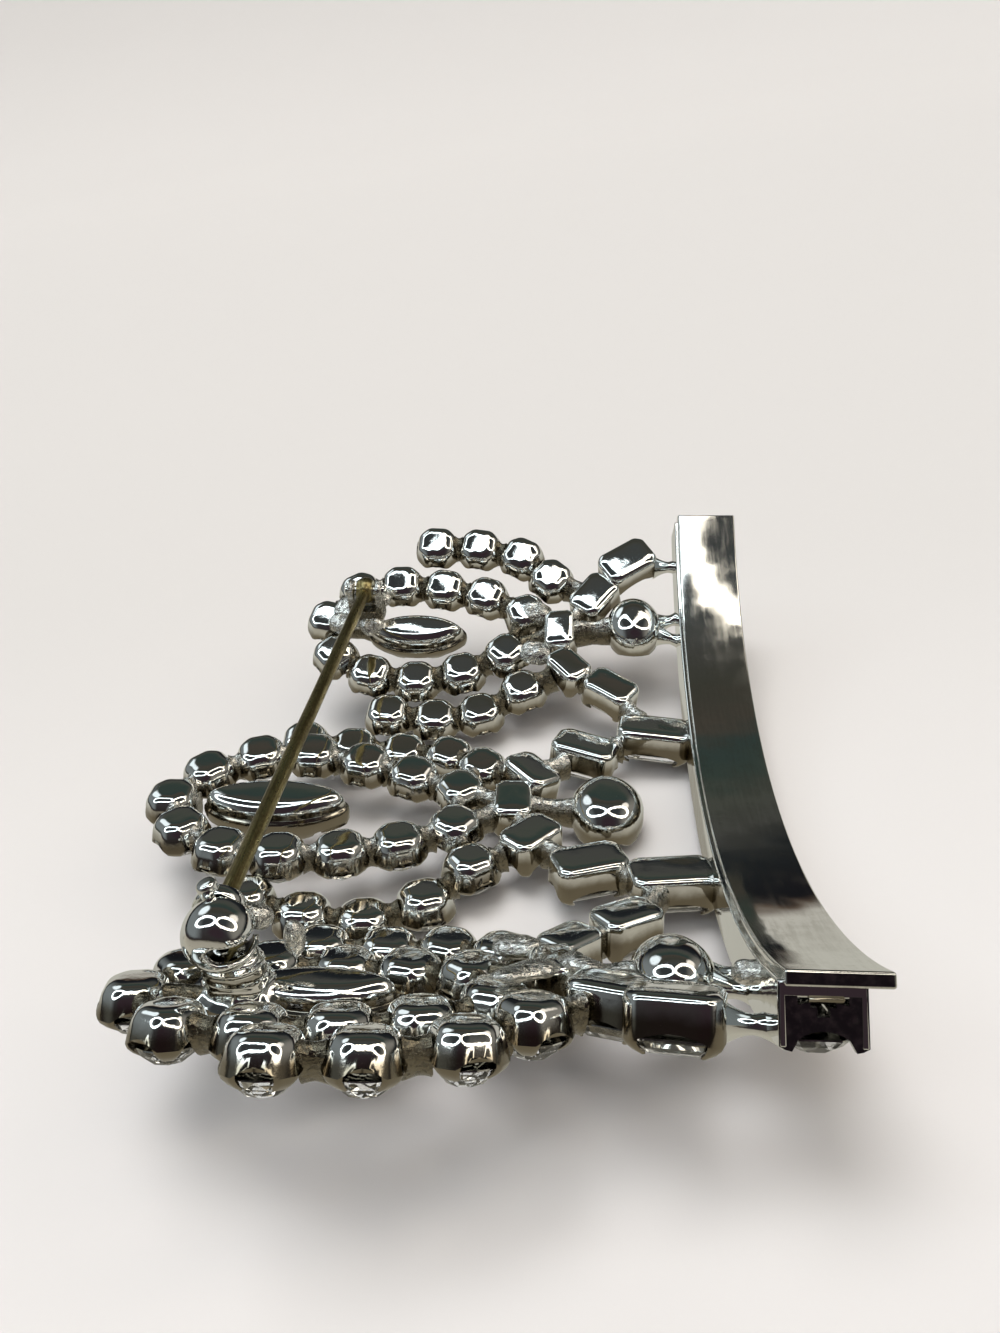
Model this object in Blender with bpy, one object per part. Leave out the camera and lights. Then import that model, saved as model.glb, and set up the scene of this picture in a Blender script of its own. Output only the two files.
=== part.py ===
"""Crown brooch lying face down on its stones, with its back, hinge pin and catch upwards.

The crown is a curved base band with three fleurs-de-lis soldered to it. Lengths are worked out in
the crown's own frame: +X runs from the crown's tips towards its base band, +Y along the band, and
+Z points out of the back. A place on the crown is given by
    x      its height in the crown, 0 on the middle line of the band
    along  its distance from the middle fleur-de-lis, measured round the curve
    drop   how much deeper than the plain curve the piece is set, towards the wearer's front
The whole crown then hangs on the empty named rest, which lays it down on its lowest stones.
"""

import math

import bmesh
import bpy
from mathutils import Matrix, Vector

MM = 0.001

# Base band: a strip bent round the X axis, with a channel of stones in front of it
BEND_RADIUS = 44.2 * MM
BAND_HALF_ARC = 31.4 * MM
BAND_WIDTH = 5.5 * MM
BAND_THICK = 0.85 * MM
BAND_STEPS = 28
CHANNEL_WIDTH = 4.9 * MM
CHANNEL_WALL = 0.5 * MM
CHANNEL_DEPTH = 3.9 * MM
CHANNEL_FLOOR = 1.5 * MM
CHANNEL_HALF_ARC = 30.9 * MM
END_WALL = 0.6 * MM
BASE_STONES = 15
BASE_STONE_LENGTH = 4.1 * MM

# Cups of the fleurs-de-lis: their flat backs lie this far in front of the band's back
BACK_LEVEL = 1.95 * MM
ROUND_WIDTH = 4.1 * MM
STONE_GAP = 0.15 * MM
# Share of a baguette's width cut from its corners, and how much a navette narrows at its points
CORNER_CUT = 0.24
NAVETTE_POINT = 0.45

# Solder between neighbouring cups
SOLDER_RADIUS = 0.52 * MM
SOLDER_DEPTH = 0.85 * MM

# Pin, hinge and catch
STEM_RADIUS = 0.56 * MM
STEM_POINT = 2.4 * MM
HINGE_PLACE = Vector((-33.5, 23.2, 5.0)) * MM
CATCH_PLACE = Vector((-34.5, -22.8, 6.1)) * MM
TIP_PAST_CATCH = 0.9 * MM
EYE_RADIUS = 1.3 * MM
EYE_WIDTH = 1.5 * MM
RIVET_RADIUS = 0.45 * MM
RUNNING_GAP = 0.15 * MM
EAR_THICK = 0.6 * MM
EAR_PLACE = 1.35 * MM
EAR_RADIUS = 1.05 * MM
HOOD_RADIUS = 1.85 * MM
HOOD_EDGE_RADIUS = 1.6 * MM
HOOD_WALL = 0.42 * MM
HOOD_LENGTH = 3.3 * MM
MOUTH_TOP = math.radians(-5.0)
MOUTH_END = math.radians(255.0)
BARREL_RADIUS = 1.05 * MM
BARREL_BORE = 0.74 * MM
BARREL_COLLAR = 1.35 * MM
BARREL_FRONT = -1.3 * MM
BARREL_BACK = 2.95 * MM
COLLAR_FRONT = 1.8 * MM
SLOT_TOP = math.radians(-12.0)
SLOT_BOTTOM = math.radians(275.0)
KNOB_RADIUS = 0.5 * MM

# Laying the crown down on its lowest stones
REST_TILT = math.radians(6.27)
REST_SHIFT = Vector((22.45, 0.0, 4.593)) * MM

# Sections of the cups and stones from back to front: depth below the flat back, inset of the outline
ROUND_CUP = (
    # depth, inset
    (0.00, 0.75),
    (0.50, 0.10),
    (2.30, 0.00),
    (2.30, 0.28),
    (3.25, 1.10),
)
STONE_CUP = (
    # depth, inset
    (0.00, 0.70),
    (0.55, 0.05),
    (2.70, 0.00),
)
DOME_CUP = (
    # depth, inset
    (-0.75, 1.90),
    (-0.35, 0.90),
    (0.55, 0.10),
    (2.70, 0.00),
)
POCKET = (
    # depth, inset
    (1.45, 0.35),
    (3.60, 0.35),
)
CUT_STONE = (
    # depth, inset
    (1.60, 1.35),
    (2.55, 0.50),
    (2.75, 0.50),
    (3.45, 1.15),
)
BASE_STONE = (
    # depth, inset
    (-0.30, 0.95),
    (1.60, 0.00),
    (1.85, 0.00),
    (2.55, 0.70),
)

# Round cups, from the crown's tip down each side; both sides of the middle one are alike
MIDDLE_LOOP = (
    # x, along, drop
    (-46.6, 0.0, -0.2),
    (-44.6, 3.5, -0.2),
    (-40.6, 5.7, 0.0),
    (-35.9, 6.1, 0.1),
    (-31.2, 5.3, 0.3),
    (-26.8, 4.0, 0.4),
    (-22.5, 2.15, 0.2),
)
MIDDLE_ARM = (
    # x, along, drop
    (-20.9, 5.7, 1.1),
    (-24.2, 8.2, 2.5),
    (-28.7, 9.3, 3.5),
    (-33.3, 9.4, 3.0),
    (-37.7, 9.1, 1.9),
)
# The near fleur-de-lis stands out further than the far one, by the last column
SIDE_LOOP = (
    # x, along, drop, near shift
    (-17.7, 22.9, 1.2, 0.0),
    (-21.8, 25.0, 1.7, 0.0),
    (-26.1, 25.9, 1.9, 0.2),
    (-30.6, 26.3, 2.0, 0.6),
    (-34.9, 25.6, 2.1, 1.4),
    (-37.7, 22.4, 1.8, 2.1),
    (-36.6, 18.7, 1.9, 1.6),
    (-32.8, 16.9, 2.2, 0.4),
    (-28.3, 16.5, 2.6, 0.0),
    (-23.8, 17.2, 2.2, 0.0),
    (-19.5, 18.8, 1.5, 0.0),
)
SIDE_OUTER_ARM = (
    # x, along, drop, near shift
    (-15.2, 26.4, 0.8, 0.2),
    (-18.3, 29.0, 1.4, 0.5),
    (-22.7, 30.1, 1.8, 1.2),
    (-27.2, 30.3, 1.9, 1.9),
)
SIDE_INNER_ARM = (
    # x, along, drop, near shift
    (-17.8, 15.2, 2.0, 0.0),
    (-21.8, 13.3, 2.9, 0.0),
    (-26.1, 12.9, 3.3, 0.0),
    (-30.7, 13.2, 3.1, 0.2),
)
# Stones big enough to be pieces of their own, one side; turn is in degrees in the crown's plan
MIDDLE_STONES = (
    # name, kind, x, along, drop, length, width, turn
    ("leg_lower", "baguette", -6.4, 8.8, -0.2, 6.0, 3.8, -8.0),
    ("leg_upper", "baguette", -12.1, 7.0, 0.1, 5.4, 3.8, -24.0),
    ("neck", "baguette", -16.3, 3.9, 0.0, 4.8, 3.4, -48.0),
)
AXIS_STONES = (
    # name, kind, x, along, drop, length, width, turn
    ("throat", "baguette", -18.6, 0.0, 0.0, 4.4, 3.0, 90.0),
    ("foot", "oval", -10.2, 0.0, 0.0, 6.0, 6.8, 0.0),
    ("heart", "navette", -37.6, 0.0, 0.3, 11.8, 4.4, 0.0),
)
SIDE_STONES = (
    # name, kind, x, along, drop, length, width, turn
    ("leg_lower", "baguette", -7.7, 27.6, -0.2, 5.4, 3.8, 32.0),
    ("leg_upper", "baguette", -11.0, 24.2, 0.3, 4.8, 3.6, 52.0),
    ("throat", "baguette", -14.4, 20.4, 0.4, 4.2, 3.0, 90.0),
    ("leg_inner", "baguette", -13.3, 16.6, 0.6, 4.2, 3.1, -48.0),
    ("leg_foot", "baguette", -9.4, 13.9, 0.2, 4.8, 3.4, -35.0),
    ("foot", "oval", -7.1, 20.9, 0.0, 5.2, 6.0, 0.0),
    ("heart", "navette", -28.6, 21.2, 2.2, 9.8, 3.8, 0.0),
)

SILVER = ("bright_metal", (0.72, 0.72, 0.70), 0.12, 1.0)
BRASS = ("dull_brass", (0.22, 0.17, 0.09), 0.35, 1.0)
CRYSTAL = ("clear_stone", (0.88, 0.91, 0.93), 0.03, 0.0)


def clear_scene():
    """Removes the objects that a new scene starts with."""
    for item in list(bpy.data.objects):
        bpy.data.objects.remove(item, do_unlink=True)


def material(finish):
    """Returns the material of one finish, made the first time it is asked for."""
    name, colour, roughness, metallic = finish
    made = bpy.data.materials.get(name)
    if made is None:
        made = bpy.data.materials.new(name)
        made.use_nodes = True
        shader = made.node_tree.nodes["Principled BSDF"]
        shader.inputs["Base Color"].default_value = (*colour, 1.0)
        shader.inputs["Roughness"].default_value = roughness
        shader.inputs["Metallic"].default_value = metallic
    return made


def face_outwards(bm):
    """Turns the faces of a closed bmesh so that all point out of it."""
    bmesh.ops.recalc_face_normals(bm, faces=bm.faces)
    if bm.calc_volume(signed=True) < 0.0:
        bmesh.ops.reverse_faces(bm, faces=bm.faces)


def add_object(name, bm, finish, parent, guide=False):
    """Turns a bmesh into an object under its parent; a guide is left out of the finished part."""
    mesh = bpy.data.meshes.new(name)
    bm.to_mesh(mesh)
    bm.free()
    mesh.materials.append(material(finish))
    made = bpy.data.objects.new(name, mesh)
    bpy.context.collection.objects.link(made)
    made.parent = parent
    if guide:
        made.hide_render = True
        made.display_type = "WIRE"
    return made


def add_empty(name, parent=None, location=(0.0, 0.0, 0.0)):
    """Adds an empty that other pieces hang on."""
    made = bpy.data.objects.new(name, None)
    bpy.context.collection.objects.link(made)
    made.parent = parent
    made.location = location
    return made


def on_crown(x, along, drop, turn=0.0):
    """Returns the frame of a cup: X and Y in its flat back, Z out of the brooch's back."""
    angle = along * MM / BEND_RADIUS
    reach = BEND_RADIUS + BACK_LEVEL + drop * MM
    spot = Vector((x * MM, reach * math.sin(angle), BEND_RADIUS - reach * math.cos(angle)))
    lean = Matrix.Rotation(angle, 4, "X")
    return Matrix.Translation(spot) @ lean @ Matrix.Rotation(math.radians(turn), 4, "Z")


def outline(bm, kind, length, width):
    """Makes the flat outline of a cup or stone as one face."""
    if kind == "round":
        reach = 0.5 / math.cos(math.pi / 8)
        turn = Matrix.Rotation(math.pi / 8, 4, "Z")
        bmesh.ops.create_circle(bm, cap_ends=True, segments=8, radius=reach, matrix=turn)
    elif kind == "wire":
        bmesh.ops.create_circle(bm, cap_ends=True, segments=10, radius=0.5)
    elif kind == "baguette":
        bmesh.ops.create_grid(bm, x_segments=1, y_segments=1, size=0.5)
    else:
        bmesh.ops.create_circle(bm, cap_ends=True, segments=12, radius=0.5)
    bmesh.ops.scale(bm, vec=(length, width, 1.0), verts=bm.verts)
    if kind == "baguette":
        bmesh.ops.bevel(
            bm, geom=bm.verts[:], offset=CORNER_CUT * width, affect="VERTICES", segments=1, profile=0.5
        )
    if kind == "navette":
        for vert in bm.verts:
            vert.co.y *= 1.0 - NAVETTE_POINT * abs(2.0 * vert.co.x / length) ** 3


def column(kind, length, width, sections):
    """Builds one closed solid from an outline carried through its sections, back to front."""
    bm = bmesh.new()
    outline(bm, kind, length, width)
    ring = bm.edges[:]
    was = 0.0
    for row, (depth, inset) in enumerate(sections):
        if row > 0:
            made = bmesh.ops.extrude_edge_only(bm, edges=ring)["geom"]
            ring = [item for item in made if isinstance(item, bmesh.types.BMEdge)]
        verts = list({vert for edge in ring for vert in edge.verts})
        now = inset * MM
        along = (length - 2.0 * now) / (length - 2.0 * was)
        across = (width - 2.0 * now) / (width - 2.0 * was)
        bmesh.ops.scale(bm, vec=(along, across, 1.0), verts=verts)
        for vert in verts:
            vert.co.z = -depth * MM
        was = now
    bmesh.ops.edgeloop_fill(bm, edges=ring)
    face_outwards(bm)
    return bm


def turned(profile, first, last, steps):
    """Spins a closed profile of (radius, place) points round the Y axis, from +X towards +Z."""
    bm = bmesh.new()
    verts = [bm.verts.new((0.0, place, radius)) for radius, place in profile]
    bm.faces.new(verts)
    full = last - first > 2.0 * math.pi - 1e-6
    if full:
        bmesh.ops.delete(bm, geom=bm.faces[:], context="FACES_ONLY")
    bmesh.ops.rotate(bm, verts=bm.verts, matrix=Matrix.Rotation(math.pi / 2 - last, 3, "Y"))
    spun = bmesh.ops.spin(
        bm,
        geom=bm.verts[:] + bm.edges[:],
        cent=(0.0, 0.0, 0.0),
        axis=(0.0, 1.0, 0.0),
        angle=last - first,
        steps=steps,
        use_merge=full,
    )
    if not full:
        rim = [item for item in spun["geom_last"] if isinstance(item, bmesh.types.BMEdge)]
        bmesh.ops.edgeloop_fill(bm, edges=rim)
    face_outwards(bm)
    return bm


def merge(target, source, frame=Matrix()):
    """Moves one bmesh to its place, adds it to another and frees it."""
    face_outwards(source)
    source.transform(frame)
    mesh = bpy.data.meshes.new("placed")
    source.to_mesh(mesh)
    source.free()
    target.from_mesh(mesh)
    bpy.data.meshes.remove(mesh)


def rod(target, start, end, radius, sides=6):
    """Adds a straight rod between two points."""
    axis = end - start
    bm = bmesh.new()
    bmesh.ops.create_cone(
        bm, cap_ends=True, segments=sides, radius1=radius, radius2=radius, depth=axis.length
    )
    turn = axis.to_track_quat("Z", "Y").to_matrix().to_4x4()
    merge(target, bm, Matrix.Translation((start + end) / 2.0) @ turn)


def block(target, frame, low, high):
    """Adds a box between two corners given in millimetres in a frame."""
    bm = bmesh.new()
    bmesh.ops.create_cube(bm, size=1.0)
    size = (Vector(high) - Vector(low)) * MM
    centre = (Vector(high) + Vector(low)) * MM / 2.0
    bmesh.ops.scale(bm, vec=size, verts=bm.verts)
    merge(target, bm, frame @ Matrix.Translation(centre))


def bent_bar(width, top, bottom, half_arc):
    """Bends a rectangular bar round the crown's curve; top and bottom are depths below its back."""
    bm = bmesh.new()
    bmesh.ops.create_grid(bm, x_segments=1, y_segments=1, size=0.5)
    bmesh.ops.scale(bm, vec=(width, bottom - top, 1.0), verts=bm.verts)
    bm.transform(Matrix.Rotation(math.pi / 2, 4, "X"))
    bmesh.ops.translate(bm, vec=(0.0, 0.0, -(top + bottom) / 2.0), verts=bm.verts)
    centre = (0.0, 0.0, BEND_RADIUS)
    swing = half_arc / BEND_RADIUS
    bmesh.ops.rotate(bm, verts=bm.verts, cent=centre, matrix=Matrix.Rotation(-swing, 3, "X"))
    first = bm.faces[:][0]
    spun = bmesh.ops.spin(
        bm,
        geom=first.verts[:] + first.edges[:],
        cent=centre,
        axis=(1.0, 0.0, 0.0),
        angle=2.0 * swing,
        steps=BAND_STEPS,
    )
    last = [item for item in spun["geom_last"] if isinstance(item, bmesh.types.BMEdge)]
    bmesh.ops.edgeloop_fill(bm, edges=last)
    face_outwards(bm)
    return bm


def solder(target, place, other):
    """Joins two neighbouring cups, each given by x, along and drop, by a rod of solder."""
    ends = []
    for x, along, drop in (place, other):
        frame = on_crown(x, along, drop)
        ends.append(frame @ Vector((0.0, 0.0, -SOLDER_DEPTH)))
    rod(target, ends[0], ends[1], SOLDER_RADIUS)


def chain(target, places, closed=False):
    """Sets a round cup at each place and solders each to the next."""
    for x, along, drop in places:
        cup = column("round", ROUND_WIDTH, ROUND_WIDTH, ROUND_CUP)
        merge(target, cup, on_crown(x, along, drop))
    for place, other in zip(places, places[1:]):
        solder(target, place, other)
    if closed:
        solder(target, places[-1], places[0])


def main_cup(shells, hollows, kind, frame, length, width):
    """Adds the cup of a main stone, and its pocket to the hollows."""
    sections = DOME_CUP if kind == "oval" else STONE_CUP
    merge(shells, column(kind, length * MM, width * MM, sections), frame)
    merge(hollows, column(kind, length * MM, width * MM, POCKET), frame)


def main_stone(name, kind, frame, length, width, parent):
    """Makes a main stone that sits in its cup with a small gap all round."""
    bm = column(kind, length * MM, width * MM, CUT_STONE)
    bm.transform(frame)
    return add_object(name, bm, CRYSTAL, parent)


def to_band(target, place, offset=0.0):
    """Solders a cup to the channel's side wall, level with the cup."""
    x, along, drop = place
    wall = -(CHANNEL_WIDTH - CHANNEL_WALL) / 2.0 / MM
    solder(target, place, (wall, along + offset, drop * 0.5))


def mirrored(places, side):
    """Gives the places of one side; the near side is stretched by its own column."""
    out = []
    for x, along, drop, near_shift in places:
        shift = near_shift if side < 0 else 0.0
        out.append((x - shift, side * along, drop))
    return out


def middle_lily(shells, hollows, rest):
    """Adds the middle fleur-de-lis."""
    tip = MIDDLE_LOOP[0]
    far = list(MIDDLE_LOOP[1:])
    near = [(x, -along, drop) for x, along, drop in reversed(far)]
    chain(shells, [tip] + far + near, closed=True)
    spots = {}
    for name, kind, x, along, drop, length, width, turn in AXIS_STONES:
        frame = on_crown(x, along, drop, turn)
        main_cup(shells, hollows, kind, frame, length, width)
        main_stone(f"{kind}_middle_{name}", kind, frame, length, width, rest)
        spots[name] = (x, along, drop)
    solder(shells, tip, spots["heart"])
    solder(shells, spots["throat"], spots["foot"])
    solder(shells, spots["throat"], MIDDLE_LOOP[-1])
    solder(shells, spots["throat"], near[0])
    for side, label in ((1, "far"), (-1, "near")):
        legs = []
        for name, kind, x, along, drop, length, width, turn in MIDDLE_STONES:
            frame = on_crown(x, side * along, drop, side * turn)
            main_cup(shells, hollows, kind, frame, length, width)
            main_stone(f"{kind}_middle_{name}_{label}", kind, frame, length, width, rest)
            legs.append((x, side * along, drop))
        to_band(shells, legs[0])
        solder(shells, legs[0], legs[1])
        solder(shells, legs[1], legs[2])
        solder(shells, legs[2], spots["throat"])
        arm = [(x, side * along, drop) for x, along, drop in MIDDLE_ARM]
        chain(shells, arm)
        solder(shells, arm[0], legs[2])
        loop_side = (MIDDLE_LOOP[-1][0], side * MIDDLE_LOOP[-1][1], MIDDLE_LOOP[-1][2])
        solder(shells, arm[0], loop_side)


def side_lily(shells, hollows, rest, side, label):
    """Adds a side fleur-de-lis, on the far side of the middle one or on its near side."""
    loop = mirrored(SIDE_LOOP, side)
    outer = mirrored(SIDE_OUTER_ARM, side)
    inner = mirrored(SIDE_INNER_ARM, side)
    chain(shells, loop, closed=True)
    chain(shells, outer)
    chain(shells, inner)
    spots = {}
    for name, kind, x, along, drop, length, width, turn in SIDE_STONES:
        frame = on_crown(x, side * along, drop, side * turn)
        main_cup(shells, hollows, kind, frame, length, width)
        main_stone(f"{kind}_{label}_{name}", kind, frame, length, width, rest)
        spots[name] = (x, side * along, drop)
    to_band(shells, spots["leg_lower"])
    to_band(shells, spots["foot"], side * 1.3)
    to_band(shells, spots["foot"], -side * 1.3)
    solder(shells, spots["leg_lower"], spots["leg_upper"])
    solder(shells, spots["leg_upper"], spots["throat"])
    solder(shells, spots["throat"], spots["leg_inner"])
    solder(shells, spots["leg_inner"], spots["leg_foot"])
    solder(shells, spots["throat"], spots["foot"])
    solder(shells, spots["throat"], loop[0])
    solder(shells, spots["throat"], loop[-1])
    solder(shells, outer[0], spots["leg_upper"])
    solder(shells, inner[0], spots["leg_inner"])
    solder(shells, loop[5], spots["heart"])
    leg = MIDDLE_STONES[0]
    solder(shells, spots["leg_foot"], (leg[2], side * leg[3], leg[4]))
    arm = [(x, side * along, drop) for x, along, drop in MIDDLE_ARM]
    solder(shells, inner[2], arm[2])
    solder(shells, inner[3], arm[2])
    solder(shells, inner[3], loop[8])


def pin_frame(place):
    """Returns a frame at a place of the pin, with its Y axis running back along the stem."""
    back = (HINGE_PLACE - CATCH_PLACE).normalized()
    right = back.cross(Vector((0.0, 0.0, 1.0))).normalized()
    up = right.cross(back)
    turn = Matrix((right, back, up)).transposed().to_4x4()
    return Matrix.Translation(place) @ turn


def hinge_bracket(shells):
    """Adds the two ears that hold the pin's eye, on a pad at the far loop's tip."""
    frame = Matrix.Translation(HINGE_PLACE)
    pad = on_crown(-34.4, 22.8, 1.6)
    block(shells, pad, (-2.9, -2.1, -1.1), (2.6, 2.1, 0.45))
    block(shells, frame, (-1.66, -1.3, -3.8), (1.66, 1.2, -1.75))
    half = EAR_THICK / 2.0 / MM
    for side in (-1, 1):
        middle = side * EAR_PLACE / MM
        block(shells, frame, (middle - half, -1.05, -2.6), (middle + half, 1.0, 0.2))
        inner = Vector(((middle - half + 0.02) * MM, 0.0, 0.0))
        outer = Vector(((middle + half - 0.02) * MM, 0.0, 0.0))
        rod(shells, HINGE_PLACE + inner, HINGE_PLACE + outer, EAR_RADIUS, 12)


def catch_hood(shells):
    """Adds the ball-shaped hood with its open mouth, on its flared foot."""
    frame = pin_frame(CATCH_PLACE)
    half = HOOD_LENGTH / 2.0
    flat = 0.32 * half
    profile = (
        (HOOD_EDGE_RADIUS, -half),
        (HOOD_RADIUS, -flat),
        (HOOD_RADIUS, flat),
        (HOOD_EDGE_RADIUS, half),
        (HOOD_EDGE_RADIUS - HOOD_WALL, half),
        (HOOD_RADIUS - HOOD_WALL, flat),
        (HOOD_RADIUS - HOOD_WALL, -flat),
        (HOOD_EDGE_RADIUS - HOOD_WALL, -half),
    )
    merge(shells, turned(profile, MOUTH_TOP, MOUTH_END, 14), frame)
    block(shells, frame, (-1.75, -1.35, -3.6), (1.9, 1.3, -1.42))
    block(shells, frame, (-1.3, -1.1, -4.9), (1.2, 1.1, -3.2))
    pad = on_crown(-35.0, -22.9, 1.6)
    block(shells, pad, (-2.9, -2.2, -1.1), (2.6, 2.3, 0.5))


def fittings_hollows(hollows):
    """Adds the channel's groove and the rivet's hole to the hollows."""
    width = CHANNEL_WIDTH - 2.0 * CHANNEL_WALL
    depth = CHANNEL_DEPTH + 0.6 * MM
    merge(hollows, bent_bar(width, CHANNEL_FLOOR, depth, CHANNEL_HALF_ARC - END_WALL))
    reach = Vector((EAR_PLACE + EAR_THICK, 0.0, 0.0))
    rod(hollows, HINGE_PLACE - reach, HINGE_PLACE + reach, RIVET_RADIUS + RUNNING_GAP, 12)


def setting(shells, hollows, rest):
    """Joins the band, the channel, the cups and the pin's fittings into one soldered solid."""
    merge(shells, bent_bar(CHANNEL_WIDTH, BAND_THICK * 0.6, CHANNEL_DEPTH, CHANNEL_HALF_ARC))
    band = bent_bar(BAND_WIDTH, 0.0, BAND_THICK, BAND_HALF_ARC)
    whole = add_object("setting", band, SILVER, rest)
    join = whole.modifiers.new("solder", "BOOLEAN")
    join.operation = "UNION"
    join.solver = "EXACT"
    join.use_self = True
    join.object = add_object("setting_shells", shells, SILVER, rest, guide=True)
    cut = whole.modifiers.new("hollows", "BOOLEAN")
    cut.operation = "DIFFERENCE"
    cut.solver = "EXACT"
    cut.object = add_object("setting_hollows", hollows, SILVER, rest, guide=True)


def base_stones(rest):
    """Sets the row of square stones in the channel."""
    pitch = 2.0 * (CHANNEL_HALF_ARC - END_WALL) / BASE_STONES / MM
    across = CHANNEL_WIDTH - 2.0 * CHANNEL_WALL - 2.0 * STONE_GAP
    for index in range(BASE_STONES):
        along = (index - (BASE_STONES - 1) / 2.0) * pitch
        bm = column("baguette", across, BASE_STONE_LENGTH, BASE_STONE)
        bm.transform(on_crown(0.0, along, 0.0))
        add_object(f"base_stone_{index + 1:02d}", bm, CRYSTAL, rest)


def pin_stem(rest):
    """Makes the pin: an eye on the rivet and a straight pointed stem."""
    hinge = add_empty("pin_hinge", rest, HINGE_PLACE)
    run = HINGE_PLACE - CATCH_PLACE
    length = run.length + TIP_PAST_CATCH
    root = (EYE_RADIUS + RIVET_RADIUS + RUNNING_GAP) / 2.0
    sections = (
        # depth, inset
        (root / MM, 0.0),
        ((length - STEM_POINT) / MM, 0.0),
        (length / MM, STEM_RADIUS * 0.8 / MM),
    )
    bore = RIVET_RADIUS + RUNNING_GAP
    half = EYE_WIDTH / 2.0
    ring = turned(((bore, -half), (EYE_RADIUS, -half), (EYE_RADIUS, half), (bore, half)), 0.0, 2.0 * math.pi, 14)
    ring.transform(Matrix.Rotation(-math.pi / 2, 4, "Z"))
    pin = add_object("pin_stem", ring, BRASS, hinge)
    wire = column("wire", 2.0 * STEM_RADIUS, 2.0 * STEM_RADIUS, sections)
    wire.transform(pin_frame(Vector()) @ Matrix.Rotation(-math.pi / 2, 4, "X"))
    stem = add_object("stem_shell", wire, BRASS, hinge, guide=True)
    join = pin.modifiers.new("stem", "BOOLEAN")
    join.operation = "UNION"
    join.solver = "EXACT"
    join.object = stem


def hinge_rivet(rest):
    """Makes the rivet that the pin turns on."""
    head = RIVET_RADIUS * 1.6
    step = (head - RIVET_RADIUS) / MM
    span = 2.0 * (EAR_PLACE + EAR_THICK / 2.0 + RUNNING_GAP) / MM
    thick = 0.35
    sections = (
        # depth, inset
        (-span / 2.0 - thick, 0.2),
        (-span / 2.0 - thick / 2.0, 0.0),
        (-span / 2.0, 0.0),
        (-span / 2.0, step),
        (span / 2.0, step),
        (span / 2.0, 0.0),
        (span / 2.0 + thick / 2.0, 0.0),
        (span / 2.0 + thick, 0.2),
    )
    bm = column("wire", 2.0 * head, 2.0 * head, sections)
    bm.transform(Matrix.Translation(HINGE_PLACE) @ Matrix.Rotation(math.pi / 2, 4, "Y"))
    add_object("hinge_rivet", bm, SILVER, rest)


def catch_barrel(rest):
    """Makes the slotted barrel that locks the catch, with its two knobs."""
    axis = add_empty("catch_axis", rest, CATCH_PLACE)
    profile = (
        (BARREL_BORE, BARREL_FRONT),
        (BARREL_BORE, BARREL_BACK),
        (BARREL_COLLAR, BARREL_BACK),
        (BARREL_COLLAR, COLLAR_FRONT),
        (BARREL_RADIUS, COLLAR_FRONT),
        (BARREL_RADIUS, BARREL_FRONT),
    )
    frame = pin_frame(Vector())
    tube = turned(profile, SLOT_TOP, SLOT_BOTTOM, 16)
    tube.transform(frame)
    barrel = add_object("catch_barrel", tube, SILVER, axis)
    knobs = bmesh.new()
    for angle, reach in ((math.radians(2.0), 2.8 * MM), (math.radians(110.0), 2.4 * MM)):
        out = Vector((math.cos(angle), 0.0, math.sin(angle)))
        middle = Vector((0.0, (BARREL_BACK + COLLAR_FRONT) / 2.0, 0.0))
        start = frame @ (middle + out * 0.92 * MM)
        rod(knobs, start, frame @ (middle + out * reach), KNOB_RADIUS, 8)
    shells = add_object("knob_shells", knobs, SILVER, axis, guide=True)
    join = barrel.modifiers.new("knobs", "BOOLEAN")
    join.operation = "UNION"
    join.solver = "EXACT"
    join.object = shells


def main():
    """Builds the brooch."""
    clear_scene()
    rest = add_empty("rest", None, REST_SHIFT)
    rest.rotation_euler = (0.0, REST_TILT, 0.0)
    shells = bmesh.new()
    hollows = bmesh.new()
    middle_lily(shells, hollows, rest)
    side_lily(shells, hollows, rest, 1, "far")
    side_lily(shells, hollows, rest, -1, "near")
    hinge_bracket(shells)
    catch_hood(shells)
    fittings_hollows(hollows)
    setting(shells, hollows, rest)
    base_stones(rest)
    pin_stem(rest)
    hinge_rivet(rest)
    catch_barrel(rest)


main()
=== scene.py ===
"""Dresses the crown brooch, which lies on its stones with its back, its pin and its catch upwards.

Every shape is drawn in millimetres in the crown's own frame: +X runs from the crown's tips towards
its base band, +Y along the band from the catch towards the hinge, and +Z points out of the back.
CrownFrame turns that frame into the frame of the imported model, in metres. A cup has a frame of its
own, with Z out of its flat back, so the depth below the back is minus its Z.
"""

import logging
import math
from collections.abc import Callable, Iterable
from dataclasses import dataclass, replace
from enum import Enum

import bmesh
import bpy
from mathutils import Matrix, Vector, noise


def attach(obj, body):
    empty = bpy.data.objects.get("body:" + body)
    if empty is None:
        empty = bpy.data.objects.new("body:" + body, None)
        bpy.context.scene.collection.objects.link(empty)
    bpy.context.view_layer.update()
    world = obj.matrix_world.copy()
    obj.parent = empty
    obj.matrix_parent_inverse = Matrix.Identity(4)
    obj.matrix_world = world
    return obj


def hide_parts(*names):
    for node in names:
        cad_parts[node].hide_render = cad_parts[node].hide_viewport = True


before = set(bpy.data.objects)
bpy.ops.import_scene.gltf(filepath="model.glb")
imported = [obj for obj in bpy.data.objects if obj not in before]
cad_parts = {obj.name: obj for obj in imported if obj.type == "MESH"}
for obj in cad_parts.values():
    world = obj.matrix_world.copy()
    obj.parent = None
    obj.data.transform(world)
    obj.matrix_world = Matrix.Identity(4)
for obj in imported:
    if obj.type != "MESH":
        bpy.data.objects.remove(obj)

MM = 0.001
LOG = logging.getLogger("brooch")
Shape = bmesh.types.BMesh
Triple = tuple[float, float, float]


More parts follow.
